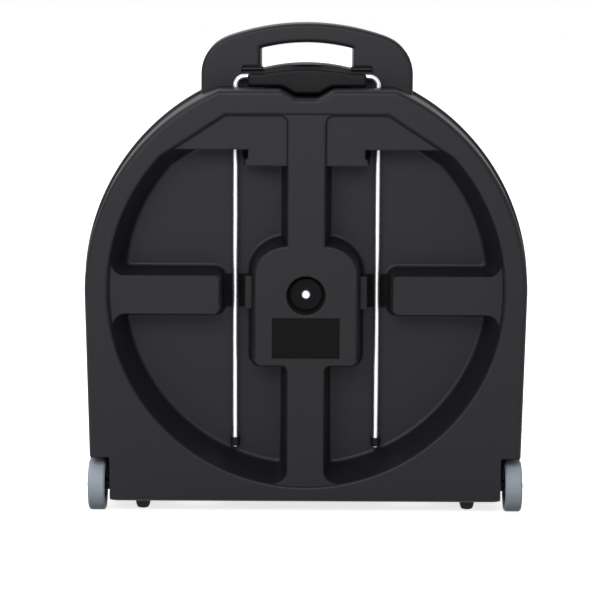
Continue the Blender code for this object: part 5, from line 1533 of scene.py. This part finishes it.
class CASE_OT_clamp(bpy.types.Operator):
    """Turn the centre bolt, its washer, base, sleeve, felts, clamp plate and wing nut"""

    bl_idname = "case.clamp"
    bl_label = "Cymbal clamp"

    def execute(self, context):
        place = (0, 0, BOLT_HEIGHT)
        disc_top, base_low = HOLE_FLOOR - SEAT_GAP, HOLE_FLOOR + WALL + SEAT_GAP
        head_top = disc_top - DISC_THICK - SEAT_GAP
        head_low, base_step = head_top - BOLT_HEAD_THICK, base_low + BASE_FLANGE
        disc = tube(BOLT_BORE, DISC_RADIUS, disc_top, disc_top - DISC_THICK)
        bolt = [
            (BOLT_RADIUS - BOLT_TIP, BOLT_END),
            (BOLT_RADIUS, BOLT_END - MM),
            (BOLT_RADIUS, head_top),
            (BOLT_HEAD_RADIUS, head_top),
            (BOLT_HEAD_RADIUS, head_top - BOLT_HEAD_EDGE),
            (BOLT_HEAD_RADIUS - MM, head_low + 2 * BOLT_TIP),
            (BOLT_HEAD_RADIUS - 2 * MM, head_low + BOLT_TIP),
            (BOLT_HEAD_RADIUS / 2, head_low),
        ]
        base = [(BOLT_BORE, BASE_TOP), (BASE_NECK, BASE_TOP), (BASE_NECK_FOOT, base_step)]
        base += [(BASE_RADIUS, base_step), (BASE_RADIUS, base_low), (BOLT_BORE, base_low)]
        sleeve = tube(BOLT_BORE, SLEEVE_RADIUS, SLEEVE_LOW, SLEEVE_TOP)
        felt = [
            (FELT_BORE, 0),
            (FELT_RADIUS - MM, 0),
            (FELT_RADIUS, FELT_THICK / 4),
            (FELT_RADIUS, FELT_THICK * 3 / 4),
            (FELT_RADIUS - MM, FELT_THICK),
            (FELT_BORE, FELT_THICK),
        ]
        lower, upper = [[(r, h + low) for r, h in felt] for low in (SLEEVE_LOW, UPPER_FELT_LOW)]
        plate = tube(FELT_BORE, PLATE_RADIUS, PLATE_LOW, PLATE_LOW + PLATE_THICK)
        for node, rings, body, slot, soft in (
            ("rear_disc", disc, "rear", "black_plastic", 0.6 * MM),
            ("centre_bolt", bolt, "rear", "bright_steel", 0.3 * MM),
            ("post_base", base, "rear", "black_plastic", 0.8 * MM),
            ("post_sleeve", sleeve, "rear", "black_plastic", 0.3 * MM),
            ("lower_felt", lower, "rear", "felt", 0.5 * MM),
            ("upper_felt", upper, "clamp", "felt", 0.5 * MM),
            ("clamp_plate", plate, "clamp", "black_plastic", 0.6 * MM),
        ):
            title = node.replace("_", " ").capitalize()
            piece = turned(title, rings, "Y", place, 64, soft, rings is not bolt)
            finish_piece(piece, body, slot, node, disc_plastic if rings is disc else None)
        nut = refined("wing_nut", "Wing nut", 0.35 * MM)
        finish_piece(nut, "nut", "bright_steel", "wing_nut")
        return {"FINISHED"}


def liner_rings(foot, hole, radius, floor, way):
    """A pad's profile: its edges roll over and its face is slightly crowned between them."""
    top, rolls = floor + way * LINER_THICK, []
    for k in range(1, 9):
        turn = k * pi / 16
        rolls.append((LINER_EDGE * (1 - cos(turn)), top - way * LINER_EDGE * (1 - sin(turn))))
    rings = [(foot or hole, floor), (radius - LINER_BACK_EDGE, floor), (radius, floor + way * LINER_EDGE)]
    rings += [(radius - inset, height) for inset, height in rolls]
    inner = hole + (LINER_EDGE if foot else 0)
    for k in range(1, 12):
        share = k / 12
        reach = radius - LINER_EDGE + (inner - radius + LINER_EDGE) * share
        rise = sin(share * pi if foot else share * pi / 2)
        rings.append((reach, top + way * LINER_CROWN * rise))
    if foot:
        return rings + [(hole + inset, height) for inset, height in rolls[::-1]]
    return rings + [(hole, top + way * LINER_CROWN)]


class CASE_OT_liners(bpy.types.Operator):
    """Lay the cloth-faced foam liners on both floors"""

    bl_idname = "case.liners"
    bl_label = "Foam liners"

    def execute(self, context):
        middle = (0, 0, ARC_HEIGHT)
        low = POCKET_FLOOR + WALL + SEAT_GAP
        rear = liner_rings(LINER_FOOT, LINER_HOLE, LINER_RADIUS, low, 1)
        high = LID_DEPTH - LID_PANEL_DEEP - WALL - SEAT_GAP
        front = liner_rings(0, LID_LINER_MIDDLE, LID_LINER_RADIUS, high, -1)
        for name, rings, body, node, bored in (
            ("Rear liner", rear, "rear", "rear_foam_liner", True),
            ("Lid liner", front, "lid", "front_foam_liner", False),
        ):
            piece = turned(name, rings, "Y", middle, 160, 0, bored)
            finish_piece(piece, body, "foam", node)
        return {"FINISHED"}


# The stage


def plainly_seen(tree):
    """1 where the camera sees a surface straight, in a mirror or through glass, and 0 elsewhere."""
    path, first, second = add_node(tree, "LightPath"), add_node(tree, "Math"), add_node(tree, "Math")
    first.operation = second.operation = "MAXIMUM"
    connect(
        tree,
        (path, "Is Camera Ray", first, 0),
        (path, "Is Glossy Ray", first, 1),
        (first, "Value", second, 0),
        (path, "Is Transmission Ray", second, 1),
    )
    return second


def floor_stuff():
    """Paper that the camera sees as white with a faint shadow; the light it bounces is darker near the
    object, as painted shade.
    """
    stuff = bpy.data.materials.new("Paper")
    stuff.use_nodes = True
    tree = stuff.node_tree
    shader, out = tree.nodes["Principled BSDF"], tree.nodes["Material Output"]
    shader.inputs["Base Color"].default_value = PAPER_COLOUR
    shader.inputs["Roughness"].default_value = PAPER_ROUGHNESS
    glow = add_node(tree, "Emission", Strength=PAPER_GLOW)
    both, mix = add_node(tree, "AddShader"), add_node(tree, "MixShader")
    place, away = add_node(tree, "TexCoord"), add_node(tree, "VectorMath")
    away.operation = "LENGTH"
    # The map range darkens the paper near the object: painted shade in the light it bounces
    shade, dim = add_node(tree, "MapRange", **PAPER_PAINTED_SHADE), add_node(tree, "BsdfDiffuse")
    connect(
        tree,
        (place, "Object", away, 0),
        (away, "Value", shade, "Value"),
        (shade, "Result", dim, "Color"),
        (shader, "BSDF", both, 0),
        (glow, "Emission", both, 1),
        (plainly_seen(tree), "Value", mix, "Fac"),
        (dim, "BSDF", mix, 1),
        (both, "Shader", mix, 2),
        (mix, "Shader", out, "Surface"),
    )
    return stuff


def surroundings(strength):
    """Plain white behind the object, and a dimmer even light on it."""
    world = bpy.data.worlds.new("Studio")
    bpy.context.scene.world = world
    world.use_nodes = True
    tree = world.node_tree
    fill, out = tree.nodes["Background"], tree.nodes["World Output"]
    fill.inputs["Color"].default_value = FILL_COLOUR
    fill.inputs["Strength"].default_value = strength
    white, mix = add_node(tree, "Background", Color=WHITE), add_node(tree, "MixShader")
    connect(
        tree,
        (plainly_seen(tree), "Value", mix, "Fac"),
        (fill, "Background", mix, 1),
        (white, "Background", mix, 2),
        (mix, "Shader", out, "Surface"),
    )


def softbox(name, place, aim, size, power):
    """A broad area light, aimed at a point."""
    deselect()
    bpy.ops.object.light_add(type="AREA", location=place)
    lamp = bpy.context.object
    lamp.name = name
    lamp.data.shape = "RECTANGLE"
    lamp.data.size, lamp.data.size_y = size
    lamp.data.energy = power
    lamp.data.color = LAMP_COLOUR
    lamp.rotation_euler = (Vector(aim) - Vector(place)).to_track_quat("-Z", "Y").to_euler()


def add_camera(stage):
    """A long lens a little above the case, aimed at the middle of its back."""
    tilt, distance = stage.camera_tilt, stage.camera_distance
    place = CAMERA_AIM + Vector((0, -cos(tilt), sin(tilt))) * distance
    deselect()
    bpy.ops.object.camera_add(location=place)
    camera = bpy.context.object
    camera.name = "Camera"
    look = (CAMERA_AIM - place).to_track_quat("-Z", "Y").to_matrix()
    camera.rotation_euler = (look @ Matrix.Rotation(stage.camera_roll, 3, "Z")).to_euler()
    camera.data.sensor_width = CAMERA_SENSOR
    camera.data.lens = CAMERA_SENSOR * distance / stage.view_width
    camera.data.shift_x, camera.data.shift_y = CAMERA_SHIFT
    camera.data.dof.use_dof = False
    bpy.context.scene.camera = camera


class CASE_OT_stage(bpy.types.Operator):
    """Set the floor, the soft studio lights, the plain background and the camera"""

    bl_idname = "case.stage"
    bl_label = "Stage"

    def execute(self, context):
        stage = context.scene.case_stage
        deselect()
        bpy.ops.mesh.primitive_plane_add(size=FLOOR_SIZE, location=(0, 0, FLOOR_LOW))
        floor = context.object
        floor.name = "Floor"
        floor.data.materials.append(floor_stuff())
        surroundings(stage.fill_strength)
        softbox("Front", power=stage.key_power, **FRONT_BOX)
        softbox("Rim", power=stage.rim_power, **RIM_BOX)
        add_camera(stage)
        context.scene.view_settings.view_transform = "Standard"
        return {"FINISHED"}


# The panel


class CASE_PT_panel(bpy.types.Panel):
    """Lists the case's pieces and their settings"""

    bl_idname = "CASE_PT_panel"
    bl_label = "Trolley case"
    bl_space_type = "VIEW_3D"
    bl_region_type = "UI"
    bl_category = "Trolley case"

    def draw(self, context):
        column = self.layout.column()
        for group in (context.scene.case_shape, context.scene.case_colours, context.scene.case_stage):
            for name in group.bl_rna.properties.keys():
                if name not in {"rna_type", "name"}:
                    column.prop(group, name)
        for operator in OPERATORS:
            column.operator(operator.bl_idname)


GROUPS = (CaseShape, CaseColours, CaseStage)
OPERATORS = (
    CASE_OT_rear_shell,
    CASE_OT_front_shell,
    CASE_OT_pull_handle,
    CASE_OT_rod_guides,
    CASE_OT_wheels,
    CASE_OT_feet,
    CASE_OT_hinges,
    CASE_OT_latches,
    CASE_OT_clamp,
    CASE_OT_liners,
    CASE_OT_stage,
)


def register():
    for item in (*GROUPS, *OPERATORS, CASE_PT_panel):
        bpy.utils.register_class(item)
    bpy.types.Scene.case_shape = PointerProperty(type=CaseShape)
    bpy.types.Scene.case_colours = PointerProperty(type=CaseColours)
    bpy.types.Scene.case_stage = PointerProperty(type=CaseStage)


def unregister():
    del bpy.types.Scene.case_stage
    del bpy.types.Scene.case_colours
    del bpy.types.Scene.case_shape
    for item in reversed((*GROUPS, *OPERATORS, CASE_PT_panel)):
        bpy.utils.unregister_class(item)


def main():
    register()
    bpy.ops.case.rear_shell()
    bpy.ops.case.front_shell()
    bpy.ops.case.pull_handle()
    bpy.ops.case.rod_guides()
    bpy.ops.case.wheels()
    bpy.ops.case.feet()
    bpy.ops.case.hinges()
    bpy.ops.case.latches()
    bpy.ops.case.clamp()
    bpy.ops.case.liners()
    bpy.ops.case.stage()


if __name__ == "__main__":
    main()
